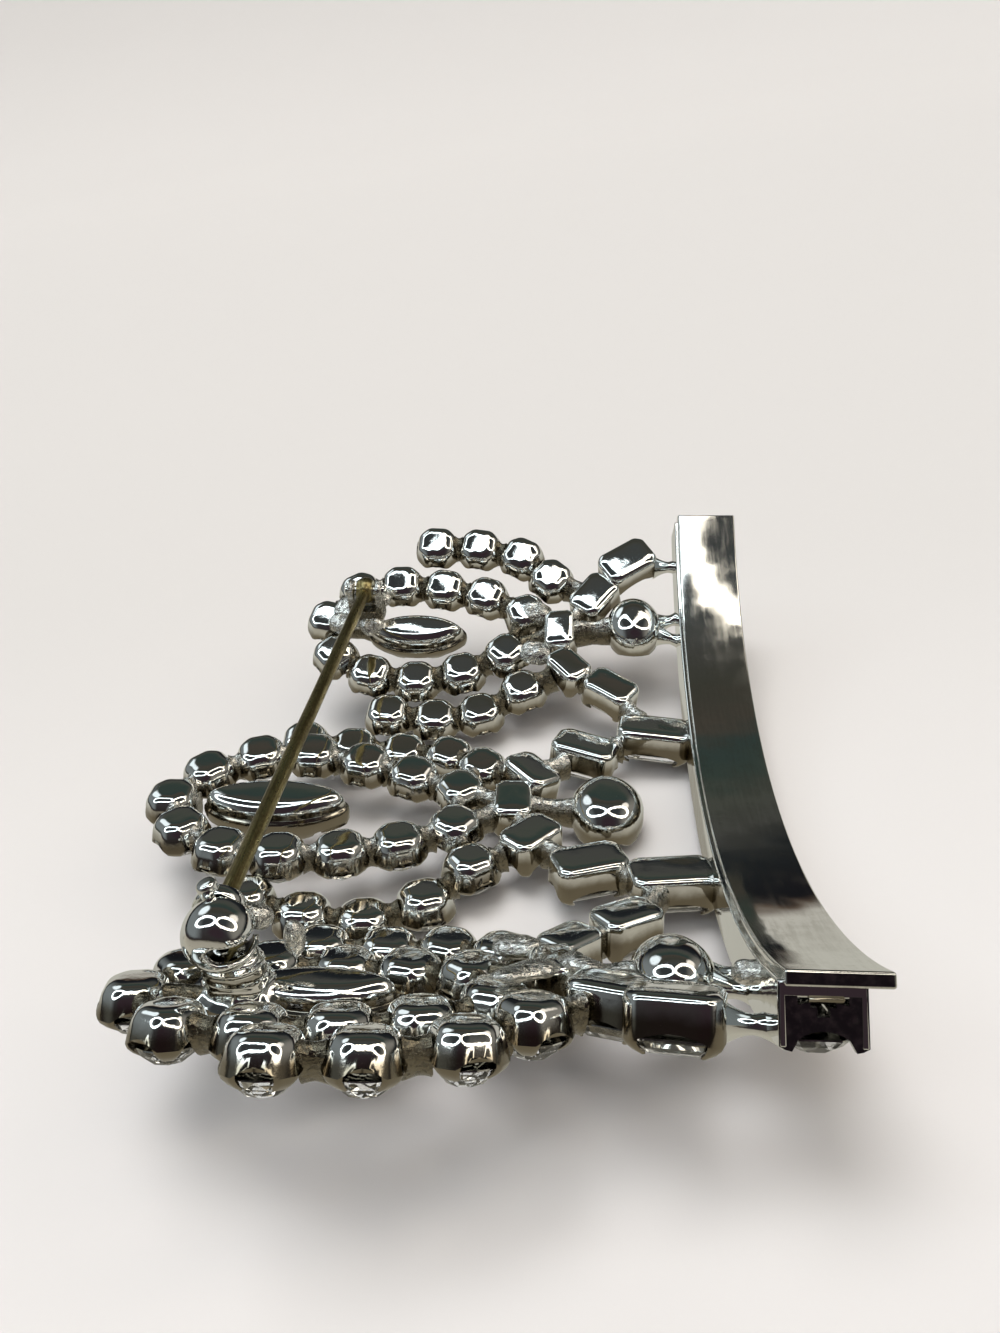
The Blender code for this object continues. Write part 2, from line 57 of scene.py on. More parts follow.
class StoneKind(Enum):
    """The cuts of stone in the brooch."""

    ROUND = "round"
    BAGUETTE = "baguette"
    OVAL = "oval"
    NAVETTE = "navette"


class Side(Enum):
    """The two ends of the crown: the far one has the hinge, and the near one the catch."""

    FAR = 1
    NEAR = -1


@dataclass(frozen=True)
class Seat:
    """A place on the crown: its height, its distance round the curve, how deep, its turn and its lean."""

    x: float
    along: float
    drop: float
    turn: float = 0.0
    lean: float = 0.0

    def mirrored(self, side: Side, near_shift: float = 0.0) -> "Seat":
        """Returns the same seat on one side of the crown.

        Args:
            side: the side that the seat is wanted on.
            near_shift: how far the near one stands further out.

        Returns:
            The seat on that side.
        """
        shift = near_shift if side is Side.NEAR else 0.0
        return Seat(self.x - shift, side.value * self.along, self.drop, side.value * self.turn)


@dataclass(frozen=True)
class CrownFrame:
    """The curved sheet that the crown is built on, and how it is laid on the floor."""

    bend_radius: float = 44.2
    back_level: float = 1.95
    tilt: float = math.radians(6.27)
    shift: Triple = (22.45, 0.0, 4.593)

    def world(self) -> Matrix:
        """Returns the matrix from the crown's millimetres to the model's metres."""
        laid = Matrix.Translation(self.shift) @ Matrix.Rotation(self.tilt, 4, "Y")
        return Matrix.Scale(MM, 4) @ laid

    def local(self, seat: Seat) -> Matrix:
        """Returns the frame of a seat within the crown.

        Args:
            seat: the place on the crown.

        Returns:
            The matrix from the seat's frame to the crown's frame, in millimetres.
        """
        angle = seat.along / self.bend_radius
        reach = self.bend_radius + self.back_level + seat.drop
        spot = (seat.x, reach * math.sin(angle), self.bend_radius - reach * math.cos(angle))
        turned = Matrix.Rotation(angle, 4, "X") @ Matrix.Rotation(math.radians(seat.turn), 4, "Z")
        return Matrix.Translation(spot) @ turned @ Matrix.Rotation(math.radians(seat.lean), 4, "X")

    def depth(self, point: Vector) -> float:
        """Returns how deep a point of the crown's frame is below its back."""
        return math.hypot(point.y, self.bend_radius - point.z) - self.bend_radius - self.back_level

    def at(self, seat: Seat) -> Matrix:
        """Returns the matrix from a seat's frame to the model's metres."""
        return self.world() @ self.local(seat)


CROWN = CrownFrame()


class Wire:
    """A value in a shader: an output socket that can be used in Python expressions."""

    def __init__(self, recipe: "Recipe", socket: bpy.types.NodeSocket) -> None:
        """Keeps the recipe and the socket."""
        self.recipe = recipe
        self.socket = socket

    def _maths(self, operation: str, first: object, second: object) -> "Wire":
        """Adds one Math node.

        Args:
            operation: the node's operation.
            first: a number or a wire.
            second: a number or a wire.

        Returns:
            The node's result.
        """
        return self.recipe.node("ShaderNodeMath", {"operation": operation}, {0: first, 1: second})

    def __add__(self, other: object) -> "Wire":
        """Adds."""
        return self._maths("ADD", self, other)

    def __radd__(self, other: object) -> "Wire":
        """Adds, from the right."""
        return self._maths("ADD", other, self)

    def __sub__(self, other: object) -> "Wire":
        """Subtracts."""
        return self._maths("SUBTRACT", self, other)

    def __rsub__(self, other: object) -> "Wire":
        """Subtracts, from the right."""
        return self._maths("SUBTRACT", other, self)

    def __mul__(self, other: object) -> "Wire":
        """Multiplies."""
        return self._maths("MULTIPLY", self, other)

    def __rmul__(self, other: object) -> "Wire":
        """Multiplies, from the right."""
        return self._maths("MULTIPLY", other, self)

    def __truediv__(self, other: object) -> "Wire":
        """Divides."""
        return self._maths("DIVIDE", self, other)

    def at_least(self, low: float) -> "Wire":
        """Returns the value, or low where it is less."""
        return self._maths("MAXIMUM", self, low)

    def smooth_step(self, low: float, high: float) -> "Wire":
        """Returns 0 below low, 1 above high and a smooth change between them.

        Args:
            low: the value that gives 0.
            high: the value that gives 1.

        Returns:
            The changed value.
        """
        settings = {"interpolation_type": "SMOOTHSTEP"}
        values = {"Value": self, "From Min": low, "From Max": high}
        return self.recipe.node("ShaderNodeMapRange", settings, values)


class Recipe:
    """The node tree of a material or of the world, built node by node."""

    def __init__(self, tree: bpy.types.NodeTree) -> None:
        """Keeps the tree."""
        self.tree = tree

    def node(self, kind: str, settings: dict, values: dict, out: object = 0) -> Wire:
        """Adds a node.

        Args:
            kind: the node's type.
            settings: the node's own settings, or the stops of a ramp under "stops".
            values: numbers, colours or wires, by the name or number of their input.
            out: the name or number of the wanted output.

        Returns:
            The wanted output.
        """
        made = self.tree.nodes.new(kind)
        for name, value in settings.items():
            if name == "stops":
                self._stops(made.color_ramp, value)
            else:
                setattr(made, name, value)
        for name, value in values.items():
            if isinstance(value, Wire):
                self.tree.links.new(value.socket, made.inputs[name])
            else:
                made.inputs[name].default_value = value
        return Wire(self, made.outputs[out])

    @staticmethod
    def _stops(ramp: bpy.types.ColorRamp, stops: tuple) -> None:
        """Sets a ramp's stops, each a place and a grey or a colour.

        Args:
            ramp: the ramp.
            stops: its stops, in order along it.
        """
        while len(ramp.elements) < len(stops):
            ramp.elements.new(1.0)
        for element, (place, colour) in zip(ramp.elements, stops):
            element.position = place
            shade = (colour,) * 3 if isinstance(colour, float) else colour
            element.color = (*shade, 1.0)

    def point(self, scale: Triple = (1.0, 1.0, 1.0)) -> Wire:
        """Returns the object's own coordinates in millimetres.

        Args:
            scale: how much each axis is squeezed.

        Returns:
            The coordinates.
        """
        place = self.node("ShaderNodeTexCoord", {}, {}, "Object")
        size = tuple(value / MM for value in scale)
        return self.node("ShaderNodeMapping", {}, {"Vector": place, "Scale": size})

    def noise(self, point: Wire, scale: float, detail: float = 2.0, rough: float = 0.5) -> Wire:
        """Returns a smooth random value from 0 to 1 over the surface.

        Args:
            point: the coordinates, in millimetres.
            scale: how many lumps there are in a millimetre.
            detail: how many finer layers there are.
            rough: how strong the finer layers are.

        Returns:
            The random value.
        """
        values = {"Vector": point, "Scale": scale, "Detail": detail, "Roughness": rough}
        return self.node("ShaderNodeTexNoise", {}, values, "Fac")

    def blend(self, share: object, first: object, second: object) -> Wire:
        """Mixes two colours.

        Args:
            share: 0 for the first and 1 for the second.
            first: a colour or a wire.
            second: a colour or a wire.

        Returns:
            The mixed colour.
        """
        values = {0: share, 6: self.colour(first), 7: self.colour(second)}
        return self.node("ShaderNodeMix", {"data_type": "RGBA"}, values, 2)

    @staticmethod
    def colour(value: object) -> object:
        """Gives a three-part colour its alpha, and leaves a wire as it is."""
        return (*value, 1.0) if isinstance(value, tuple) else value

    def bump(self, height: Wire, distance: float) -> Wire:
        """Returns the normal of a surface whose bumps are as high as the distance, in millimetres."""
        return self.node("ShaderNodeBump", {}, {"Height": height, "Distance": distance * MM})

    def depth(self) -> Wire:
        """Returns how deep the surface is below the brooch's back, in millimetres."""
        return self.node("ShaderNodeAttribute", {"attribute_name": "depth"}, {}, "Fac")


class Finish:
    """A finish that makes its material the first time it is asked for."""

    def material(self) -> bpy.types.Material:
        """Returns the material of this finish.

        Returns:
            The material, which later calls return again.
        """
        name = type(self).__name__
        made = bpy.data.materials.get(name)
        if made is None:
            made = bpy.data.materials.new(name)
            made.use_nodes = True
            shader = made.node_tree.nodes["Principled BSDF"]
            for socket, value in self.dress(Recipe(made.node_tree)).items():
                if isinstance(value, Wire):
                    made.node_tree.links.new(value.socket, shader.inputs[socket])
                else:
                    shader.inputs[socket].default_value = Recipe.colour(value)
        return made

    def dress(self, recipe: Recipe) -> dict:
        """Returns the shader's numbers, colours and wires, by the names of its inputs."""
        raise NotImplementedError

    @staticmethod
    def metal(tone: object, rough: object, **more: object) -> dict:
        """Returns the values of a metal with a colour and a roughness, and any more inputs."""
        return {"Base Color": tone, "Metallic": 1.0, "Roughness": rough, **more}


@dataclass(frozen=True)
class BrightPlating(Finish):
    """Bright plating on the cups, with painted shade and a duller gloss down their side walls."""

    bright: Triple = (0.84, 0.85, 0.83)
    # painted shade: the dark colour of the side walls, also used for the dark specks
    dulled: Triple = (0.25, 0.22, 0.165)

    def dress(self, recipe: Recipe) -> dict:
        """Returns the plating's colour with its painted wall shade, its gloss and its waves.

        Args:
            recipe: the recipe that adds the nodes.

        Returns:
            The values of the shader's inputs, by their names.
        """
        point = recipe.point()
        blotch = recipe.noise(point, 0.55, 3.0, 0.6)
        # painted shade: the colour darkens with depth down the side walls
        wall = (recipe.depth() + blotch * 0.8).smooth_step(0.9, 2.0)
        tone = recipe.blend(wall, self.bright, self.dulled)
        speck = recipe.noise(point, 5.5, 4.0, 0.7).smooth_step(0.60, 0.76)
        tone = recipe.blend(speck * 0.35, tone, self.dulled)
        rough = 0.045 + wall * 0.09 + speck * 0.10
        wave = recipe.noise(point, 0.45, 1.0, 0.5) + recipe.noise(point, 3.0, 3.0, 0.6) * 0.10
        return self.metal(tone, rough, Normal=recipe.bump(wave, 0.05))


@dataclass(frozen=True)
class SolderMetal(Finish):
    """Grainy solder, bright and drawn out in ridges at the top, and duller with painted shade further down.
    """

    bright: Triple = (0.74, 0.73, 0.69)
    pitted: Triple = (0.14, 0.13, 0.105)
    # painted shade: the colour of the solder further down
    dulled: Triple = (0.21, 0.185, 0.135)

    def dress(self, recipe: Recipe) -> dict:
        """Returns the solder's colour, gloss and grain.

        Args:
            recipe: the recipe that adds the nodes.

        Returns:
            The values of the shader's inputs, by their names.
        """
        point = recipe.point()
        swirl = recipe.noise(point, 0.5, 1.0, 0.5)
        ridges = recipe.noise(recipe.point((0.7, 2.6, 1.4)), 1.0, 4.0, 0.6)
        pits = recipe.noise(point, 2.4, 4.0, 0.65).smooth_step(0.48, 0.64)
        # painted shade: the colour darkens with depth
        low = (recipe.depth() + swirl * 0.9).smooth_step(0.9, 1.9)
        tone = recipe.blend(pits * 0.60, self.bright, self.pitted)
        tone = recipe.blend(low, tone, recipe.blend(pits * 0.6, self.dulled, self.pitted))
        rough = 0.08 + pits * 0.18 + low * 0.10
        return self.metal(tone, rough, Normal=recipe.bump(ridges * 1.5 + swirl * 1.2 - pits * 0.3, 0.10))


@dataclass(frozen=True)
class BandPolish(Finish):
    """The polished back of the base band, with fine scratches and a worn, spotted film."""

    bright: Triple = (0.83, 0.83, 0.80)
    film: Triple = (0.50, 0.49, 0.44)

    def dress(self, recipe: Recipe) -> dict:
        """Returns the band's colour, gloss and scratches.

        Args:
            recipe: the recipe that adds the nodes.

        Returns:
            The values of the shader's inputs, by their names.
        """
        point = recipe.point()
        streak = recipe.noise(recipe.point((3.2, 0.22, 0.22)), 1.0, 5.0, 0.65)
        patch = recipe.noise(point, 0.28, 4.0, 0.65)
        spots = recipe.noise(point, 3.4, 3.0, 0.7).smooth_step(0.60, 0.70)
        worn = (patch * 0.6 + streak * 0.4).smooth_step(0.42, 0.62)
        tone = recipe.blend(worn * 0.45 + spots * 0.25, self.bright, self.film)
        wave = recipe.noise(point, 0.16, 2.0, 0.5) * 1.2 + streak * 0.015
        return self.metal(tone, 0.07 + worn * 0.10, Normal=recipe.bump(wave, 0.10))


@dataclass(frozen=True)
class DullBrass(Finish):
    """The tarnished brass wire of the pin, streaked along its length."""

    light: Triple = (0.50, 0.42, 0.20)
    dark: Triple = (0.17, 0.135, 0.06)

    def dress(self, recipe: Recipe) -> dict:
        """Returns the wire's colour and streaks.

        Args:
            recipe: the recipe that adds the nodes.

        Returns:
            The values of the shader's inputs, by their names.
        """
        streak = recipe.noise(recipe.point((3.0, 0.22, 3.0)), 1.0, 4.0, 0.6)
        fleck = recipe.noise(recipe.point(), 3.6, 3.0, 0.6)
        worn = (streak * 0.75 + fleck * 0.25).smooth_step(0.38, 0.64)
        tone = recipe.blend(worn, self.dark, self.light)
        return self.metal(tone, 0.40 - worn * 0.14, Normal=recipe.bump(streak, 0.06))


@dataclass(frozen=True)
class CutGlass(Finish):
    """Clear cut glass, with a faint haze on it."""

    tint: Triple = (0.93, 0.94, 0.93)
    hazed: Triple = (0.72, 0.72, 0.68)

    def dress(self, recipe: Recipe) -> dict:
        """Returns the glass and the faint haze on it.

        Args:
            recipe: the recipe that adds the nodes.

        Returns:
            The values of the shader's inputs, by their names.
        """
        haze = recipe.noise(recipe.point(), 1.2, 2.0, 0.5).smooth_step(0.45, 0.75)
        tone = recipe.blend(haze * 0.25, self.tint, self.hazed)
        values = {"Base Color": tone, "Metallic": 0.0, "Roughness": 0.01 + haze * 0.02}
        return {**values, "Transmission Weight": 1.0, "IOR": 1.55}


@dataclass(frozen=True)
class FoilBack(Finish):
    """The mirror foil on the back facets of a stone, worn to grey in places."""

    foil: Triple = (0.72, 0.72, 0.70)
    greyed: Triple = (0.16, 0.15, 0.13)

    def dress(self, recipe: Recipe) -> dict:
        """Returns the foil's colour and its worn spots."""
        worn = recipe.noise(recipe.point(), 0.9, 3.0, 0.6).smooth_step(0.48, 0.66)
        return self.metal(recipe.blend(worn * 0.7, self.foil, self.greyed), 0.04 + worn * 0.12)


@dataclass(frozen=True)
class ShadedEnd(Finish):
    """The end faces of the band and its channel, in a darker copy of the metal that paints shade on them."""

    # painted shade: the end faces' dark tone
    tone: Triple = (0.19, 0.20, 0.205)
    dented: Triple = (0.50, 0.50, 0.47)

    def dress(self, recipe: Recipe) -> dict:
        """Returns the end face's painted dark colour and small dents.

        Args:
            recipe: the recipe that adds the nodes.

        Returns:
            The values of the shader's inputs, by their names.
        """
        dents = recipe.noise(recipe.point(), 1.6, 4.0, 0.6)
        tone = recipe.blend(dents.smooth_step(0.42, 0.66) * 0.7, self.tone, self.dented)
        wave = dents * 0.4 + recipe.noise(recipe.point(), 0.5, 1.0, 0.5)
        return self.metal(tone, 0.07 + dents * 0.12, Normal=recipe.bump(wave, 0.10))


@dataclass(frozen=True)
class InnerShade(Finish):
    """The inside of the catch, painted dark as shade."""

    tone: Triple = (0.035, 0.030, 0.024)
    flecked: Triple = (0.16, 0.14, 0.10)

    def dress(self, recipe: Recipe) -> dict:
        """Returns the inside's colour and its paler flecks."""
        fleck = recipe.noise(recipe.point(), 2.5, 3.0, 0.6).smooth_step(0.50, 0.75)
        return self.metal(recipe.blend(fleck, self.tone, self.flecked), 0.35 - fleck * 0.10)


@dataclass(frozen=True)
class Floor(Finish):
    """The pale floor, with painted shade that makes it a little darker behind the brooch than in front of
    it.
    """

    # painted shade: the floor's colour in front and, darker, behind
    ahead: Triple = (0.600, 0.572, 0.561)
    behind: Triple = (0.535, 0.510, 0.494)
    grain: Triple = (0.3, 0.3, 0.3)

    def dress(self, recipe: Recipe) -> dict:
        """Returns the floor's colour with its painted shade from front to back, and its faint grain.

        Args:
            recipe: the recipe that adds the nodes.

        Returns:
            The values of the shader's inputs, by their names.
        """
        grain = recipe.noise(recipe.point((0.01, 0.01, 0.01)), 1.0, 2.0, 0.5)
        # painted shade: the colour darkens towards the back
        back = recipe.node("ShaderNodeSeparateXYZ", {}, {0: recipe.point()}, "Y").smooth_step(-45.0, 60.0)
        tone = recipe.blend(grain * 0.03, recipe.blend(back, self.ahead, self.behind), self.grain)
        return {"Base Color": tone, "Roughness": 0.9, "Specular IOR Level": 0.1}


PLATING = BrightPlating()
SHADE = InnerShade()
SOLDER = SolderMetal()
BAND = BandPolish()
BRASS = DullBrass()
GLASS = CutGlass()
FOIL = FoilBack()
END_SHADE = ShadedEnd()


class Piece:
    """One named piece of the brooch, put together from drawn shapes."""

    def __init__(self, name: str) -> None:
        """Starts an empty piece.

        Args:
            name: the name of the piece.
        """
        self.name = name
        self.bm = bmesh.new()
        self.bm.verts.layers.float.new("depth")

    def add(
        self, shape: Shape, place: Matrix, deep: Callable[[Vector], float] | None = None
    ) -> None:
        """Puts a shape into the piece and frees it.

        Args:
            shape: a shape in millimetres.
            place: the matrix to the model's metres.
            deep: tells how deep a point of the shape is; if it is left out, its Z does.
        """
        depth = shape.verts.layers.float.new("depth")
        for vert in shape.verts:
            vert[depth] = -vert.co.z if deep is None else deep(vert.co)
        shape.transform(place)
        merge(self.bm, shape)

    def finish(
        self, finish: Finish, body: str, slot: str, nodes: tuple[str, ...] = (), sharp: float = 32.0
    ) -> bpy.types.Object:
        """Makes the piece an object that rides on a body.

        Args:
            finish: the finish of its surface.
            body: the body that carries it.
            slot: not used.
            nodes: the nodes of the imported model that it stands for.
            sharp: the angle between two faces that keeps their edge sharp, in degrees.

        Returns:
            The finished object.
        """
        mesh = bpy.data.meshes.new(self.name)
        self.bm.to_mesh(mesh)
        self.bm.free()
        mesh.shade_smooth()
        mesh.set_sharp_from_angle(angle=math.radians(sharp))
        mesh.materials.append(finish.material())
        made = bpy.data.objects.new(self.name, mesh)
        bpy.context.scene.collection.objects.link(made)
        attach(made, body)
        if nodes:
            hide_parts(*nodes)
        LOG.info("%s: %d faces on %s", self.name, len(mesh.polygons), body)
        return made


def shallow(point: Vector) -> float:
    """Says that a point isn't deep, for the shapes that get no painted shade and stay bright all over."""
    return 0.0


def of_kind(items: list, kind: type) -> list:
    """Returns the items of one bmesh type from what an operator gave back."""
    return [item for item in items if isinstance(item, kind)]


def merge(target: Shape, shape: Shape) -> None:
    """Puts a shape into another one and frees it.

    Args:
        target: the bmesh that gets the shape.
        shape: the bmesh that is put in and freed.
    """
    mesh = bpy.data.meshes.new("shape")
    shape.to_mesh(mesh)
    shape.free()
    target.from_mesh(mesh)
    bpy.data.meshes.remove(mesh)


def rounded(bm: Shape, geom: list, offset: float, segments: int) -> None:
    """Rounds edges, or the corners of a flat outline.

    Args:
        bm: the bmesh that holds them.
        geom: the edges or the corners.
        offset: how far the rounding starts from them.
        segments: how many steps it has; one is a plain cut.
    """
    kind = "VERTICES" if isinstance(geom[0], bmesh.types.BMVert) else "EDGES"
    bmesh.ops.bevel(
        bm, geom=geom, offset=offset, offset_type="OFFSET", affect=kind,
        segments=segments, profile=0.5, material=-1,
    )


def soft_edges(made: bpy.types.Object, width: float, segments: int, limit: float = 30.0) -> None:
    """Rounds the sharp edges of a piece with a modifier.

    Args:
        made: the piece.
        width: the width of the rounding, in millimetres.
        segments: how many steps it has.
        limit: the angle from which an edge is sharp, in degrees.
    """
    rims = made.modifiers.new("rims", "BEVEL")
    rims.width = width * MM
    rims.segments = segments
    rims.limit_method = "ANGLE"
    rims.angle_limit = math.radians(limit)
    rims.material = 0


def draw_out(bm: Shape, ring: list, size: tuple[float, float], rows: Iterable[tuple]) -> list:
    """Draws an outline out through rows of sections.

    Args:
        bm: the bmesh that holds the outline.
        ring: the edges of the outline.
        size: its length and width.
        rows: each section's height, middle along X, length and width; the first is the outline's own.

    Returns:
        The edges of the last section.
    """
    was = (0.0, *size)
    for row, (height, *now) in enumerate(rows):
        if row > 0:
            ring = of_kind(bmesh.ops.extrude_edge_only(bm, edges=ring)["geom"], bmesh.types.BMEdge)
        verts = list({vert for edge in ring for vert in edge.verts})
        bmesh.ops.translate(bm, vec=(-was[0], 0.0, 0.0), verts=verts)
        bmesh.ops.scale(bm, vec=(now[1] / was[1], now[2] / was[2], 1.0), verts=verts)
        bmesh.ops.translate(bm, vec=(now[0], 0.0, 0.0), verts=verts)
        for vert in verts:
            vert.co.z = height
        was = now
    return ring


def drawn_rod(rows: Iterable[tuple], segments: int) -> Shape:
    """Draws a closed rod of oval sections that stands along Z.

    Args:
        rows: each section's height, middle along X, half length and half width.
        segments: how many sides it has.

    Returns:
        The rod.
    """
    bm = bmesh.new()
    bmesh.ops.create_circle(bm, cap_ends=True, segments=segments, radius=1.0)
    bmesh.ops.edgeloop_fill(bm, edges=draw_out(bm, bm.edges[:], (1.0, 1.0), rows))
    outwards(bm)
    return bm


def outwards(bm: Shape) -> None:
    """Turns the faces of a closed shape outwards.

    Args:
        bm: the bmesh that holds the closed shape.
    """
    bmesh.ops.remove_doubles(bm, verts=bm.verts, dist=1e-5)
    bmesh.ops.recalc_face_normals(bm, faces=bm.faces)
    if bm.calc_volume(signed=True) < 0.0:
        bmesh.ops.reverse_faces(bm, faces=bm.faces)


@dataclass(frozen=True)
class Outline:
    """The outline of a cup or a stone, seen from its back."""

    kind: StoneKind
    length: float
    width: float
    corner: float = 0.95
    rounding: float = 0.20

    def reach(self, way: Vector) -> float:
        """Returns how far the outline reaches from its middle.

        Args:
            way: the direction, in the outline's frame.

        Returns:
            The distance in that direction.
        """
        way = Vector((way.x, way.y)).normalized()
        across, down = abs(way.x) * 2.0 / self.length, abs(way.y) * 2.0 / self.width
        power = 2.0 if self.kind in (StoneKind.OVAL, StoneKind.NAVETTE) else 5.0
        return (across**power + down**power) ** (-1.0 / power)

    def draw(self, bm: Shape, fine: bool = True) -> list:
        """Draws the outline as one face.

        Args:
            bm: the bmesh to draw in.
            fine: whether the corners are rounded and the sides divided.

        Returns:
            The edges of the outline.
        """
        if self.kind in (StoneKind.ROUND, StoneKind.BAGUETTE):
            bmesh.ops.create_grid(bm, x_segments=1, y_segments=1, size=0.5)
            bmesh.ops.scale(bm, vec=(self.length, self.width, 1.0), verts=bm.verts)
            rounded(bm, bm.verts[:], self.corner, 1)
            if fine:
                rounded(bm, bm.verts[:], self.rounding, 3)
                long = [edge for edge in bm.edges if edge.calc_length() > 0.3 * self.width]
                bmesh.ops.subdivide_edges(bm, edges=long, cuts=5)
        else:
            segments = 40 if fine else 16
            bmesh.ops.create_circle(bm, cap_ends=True, segments=segments, radius=0.5)
            bmesh.ops.scale(bm, vec=(self.length, self.width, 1.0), verts=bm.verts)
        if self.kind is StoneKind.NAVETTE:
            for vert in bm.verts:
                vert.co.y *= 1.0 - 0.22 * abs(2.0 * vert.co.x / self.length) ** 3
        return bm.edges[:]

    def corner_share(self, point: Vector, inset: float) -> float:
        """Says how much a point of the rim belongs to a prong.

        Args:
            point: the point, in the cup's frame.
            inset: how far the rim is inside the outline.

        Returns:
            1 or more at a prong, and less than 1 down to 0 in the middle of an arch.
        """
        across = abs(point.x) / (self.length / 2.0 - inset)
        down = abs(point.y) / (self.width / 2.0 - inset)
        if self.kind in (StoneKind.ROUND, StoneKind.BAGUETTE):
            if across > down:
                return down * self.width / (self.width - 2.0 * self.corner)
            return across * self.length / (self.length - 2.0 * self.corner)
        angle = math.degrees(math.atan2(down, across))
        if self.kind is StoneKind.OVAL:
            return 1.0 - max(0.0, abs(angle - 45.0) - 9.0) / 36.0
        return 1.0 if across > 0.955 else 1.0 - min(1.0, abs(across - 0.42) / 0.42) ** 2


@dataclass(frozen=True)
class Cup:
    """A stone's cup: a flat or domed back, a rounded shoulder, arched walls and bent prongs."""

    outline: Outline
    profile: tuple[tuple[float, float], ...]
    arch: float = 0.55
    wall: float = 0.20
    held: float = 0.84
    prong: tuple[Triple, ...] = (
        # drop, how far inward, how narrow
        (0.26, 0.10, 0.86),
        (0.30, 0.30, 0.80),
        (0.26, 0.40, 0.72),
    )

    def build(self) -> Shape:
        """Draws the cup.

        Returns:
            The cup as a closed shell, in its own frame.
        """
        bm = bmesh.new()
        length, width = self.outline.length, self.outline.width
        rows = [(-depth, 0.0, length - 2.0 * inset, width - 2.0 * inset) for depth, inset in self.profile]
        ring = draw_out(bm, self.outline.draw(bm), (length, width), rows)
        self._arches(bm, ring, self.profile[-1][1])
        outwards_open(bm)
        bmesh.ops.solidify(bm, geom=bm.faces[:], thickness=self.wall)
        return bm

    def _arches(self, bm: Shape, ring: list, inset: float) -> None:
        """Lifts the rim between the prongs and draws the prongs over the stone's edge.

        Args:
            bm: the bmesh that holds the cup.
            ring: the edges of the cup's rim.
            inset: how far the rim stands inside the outline.
        """
        verts = list({vert for edge in ring for vert in edge.verts})
        share = {vert: self.outline.corner_share(vert.co, inset) for vert in verts}
        for vert in verts:
            vert.co.z += self.arch * max(0.0, 1.0 - share[vert] ** 2)
        held = [edge for edge in ring if all(share[vert] > self.held for vert in edge.verts)]
        for drop, lean, narrow in self.prong:
            made = bmesh.ops.extrude_edge_only(bm, edges=held)["geom"]
            held = of_kind(made, bmesh.types.BMEdge)
            verts = of_kind(made, bmesh.types.BMVert)
            for right, up in ((1, 1), (1, -1), (-1, 1), (-1, -1)):
                group = [vert for vert in verts if vert.co.x * right > 0.0 and vert.co.y * up >= 0.0]
                if not group:
                    continue
                middle = sum((vert.co for vert in group), Vector()) / len(group)
                inward = Vector((middle.x, middle.y, 0.0)).normalized() * lean
                for vert in group:
                    vert.co = middle.lerp(vert.co, narrow) - inward
                    vert.co.z -= drop


def outwards_open(bm: Shape) -> None:
    """Turns the faces of an open shell outwards, by its highest face.

    Args:
        bm: the bmesh that holds the open shell.
    """
    bmesh.ops.recalc_face_normals(bm, faces=bm.faces)
    highest = max(bm.faces, key=lambda face: face.calc_center_median().z)
    if highest.normal.z < 0.0:
        bmesh.ops.reverse_faces(bm, faces=bm.faces)


@dataclass(frozen=True)
class CutStone:
    """A faceted stone, the hull of the outlines of its facets."""

    outline: Outline
    girdle: float = 2.42
    table: float = 3.35
    point: float = 1.35

    def build(self) -> Shape:
        """Draws the stone.

        Returns:
            The closed stone in its cup's frame.
        """
        half = self.outline.width / 2.0
        rows = (
            # depth, inset, turned by half a facet
            (self.point, half * 0.86, False),
            ((self.point + self.girdle) / 2.0, half * 0.40, True),
            (self.girdle, 0.0, False),
            (self.girdle + 0.08, 0.0, False),
            (self.girdle + (self.table - self.girdle) * 0.55, half * 0.17, True),
            (self.table, half * 0.46, False),
        )
        bm = bmesh.new()
        for depth, inset, turned in rows:
            row = bmesh.new()
            self._facets(row, inset, turned)
            bmesh.ops.translate(row, vec=(0.0, 0.0, -depth), verts=row.verts)
            merge(bm, row)
        bmesh.ops.delete(bm, geom=bm.faces[:], context="FACES_ONLY")
        bmesh.ops.convex_hull(bm, input=bm.verts)
        bmesh.ops.dissolve_limit(bm, angle_limit=0.02, verts=bm.verts, edges=bm.edges)
        loose = [vert for vert in bm.verts if not vert.link_faces]
        bmesh.ops.delete(bm, geom=loose, context="VERTS")
        outwards(bm)
        return bm

    def _facets(self, row: Shape, inset: float, turned: bool) -> None:
        """Draws one outline of facet corners.

        Args:
            row: the bmesh that gets the corners.
            inset: how far they stand inside the stone's outline.
            turned: whether a round stone's corners are turned by half a facet.
        """
        length = self.outline.length - 2.0 * inset
        width = self.outline.width - 2.0 * inset
        if self.outline.kind is StoneKind.ROUND:
            turn = Matrix.Rotation(math.pi / 8.0 if turned else 0.0, 4, "Z")
            bmesh.ops.create_circle(
                row, cap_ends=False, segments=8 if inset else 16, radius=width / 2.0, matrix=turn
            )
            return
        smaller = Outline(self.outline.kind, length, width, self.outline.corner * width / self.outline.width)
        smaller.draw(row, fine=False)


def foil(made: bpy.types.Object) -> None:
    """Gives the back facets of a piece's stones their foil.

    Args:
        made: the piece of stones.
    """
    made.data.materials.append(FOIL.material())
    for polygon in made.data.polygons:
        if polygon.normal.z > 0.12:
            polygon.material_index = 1


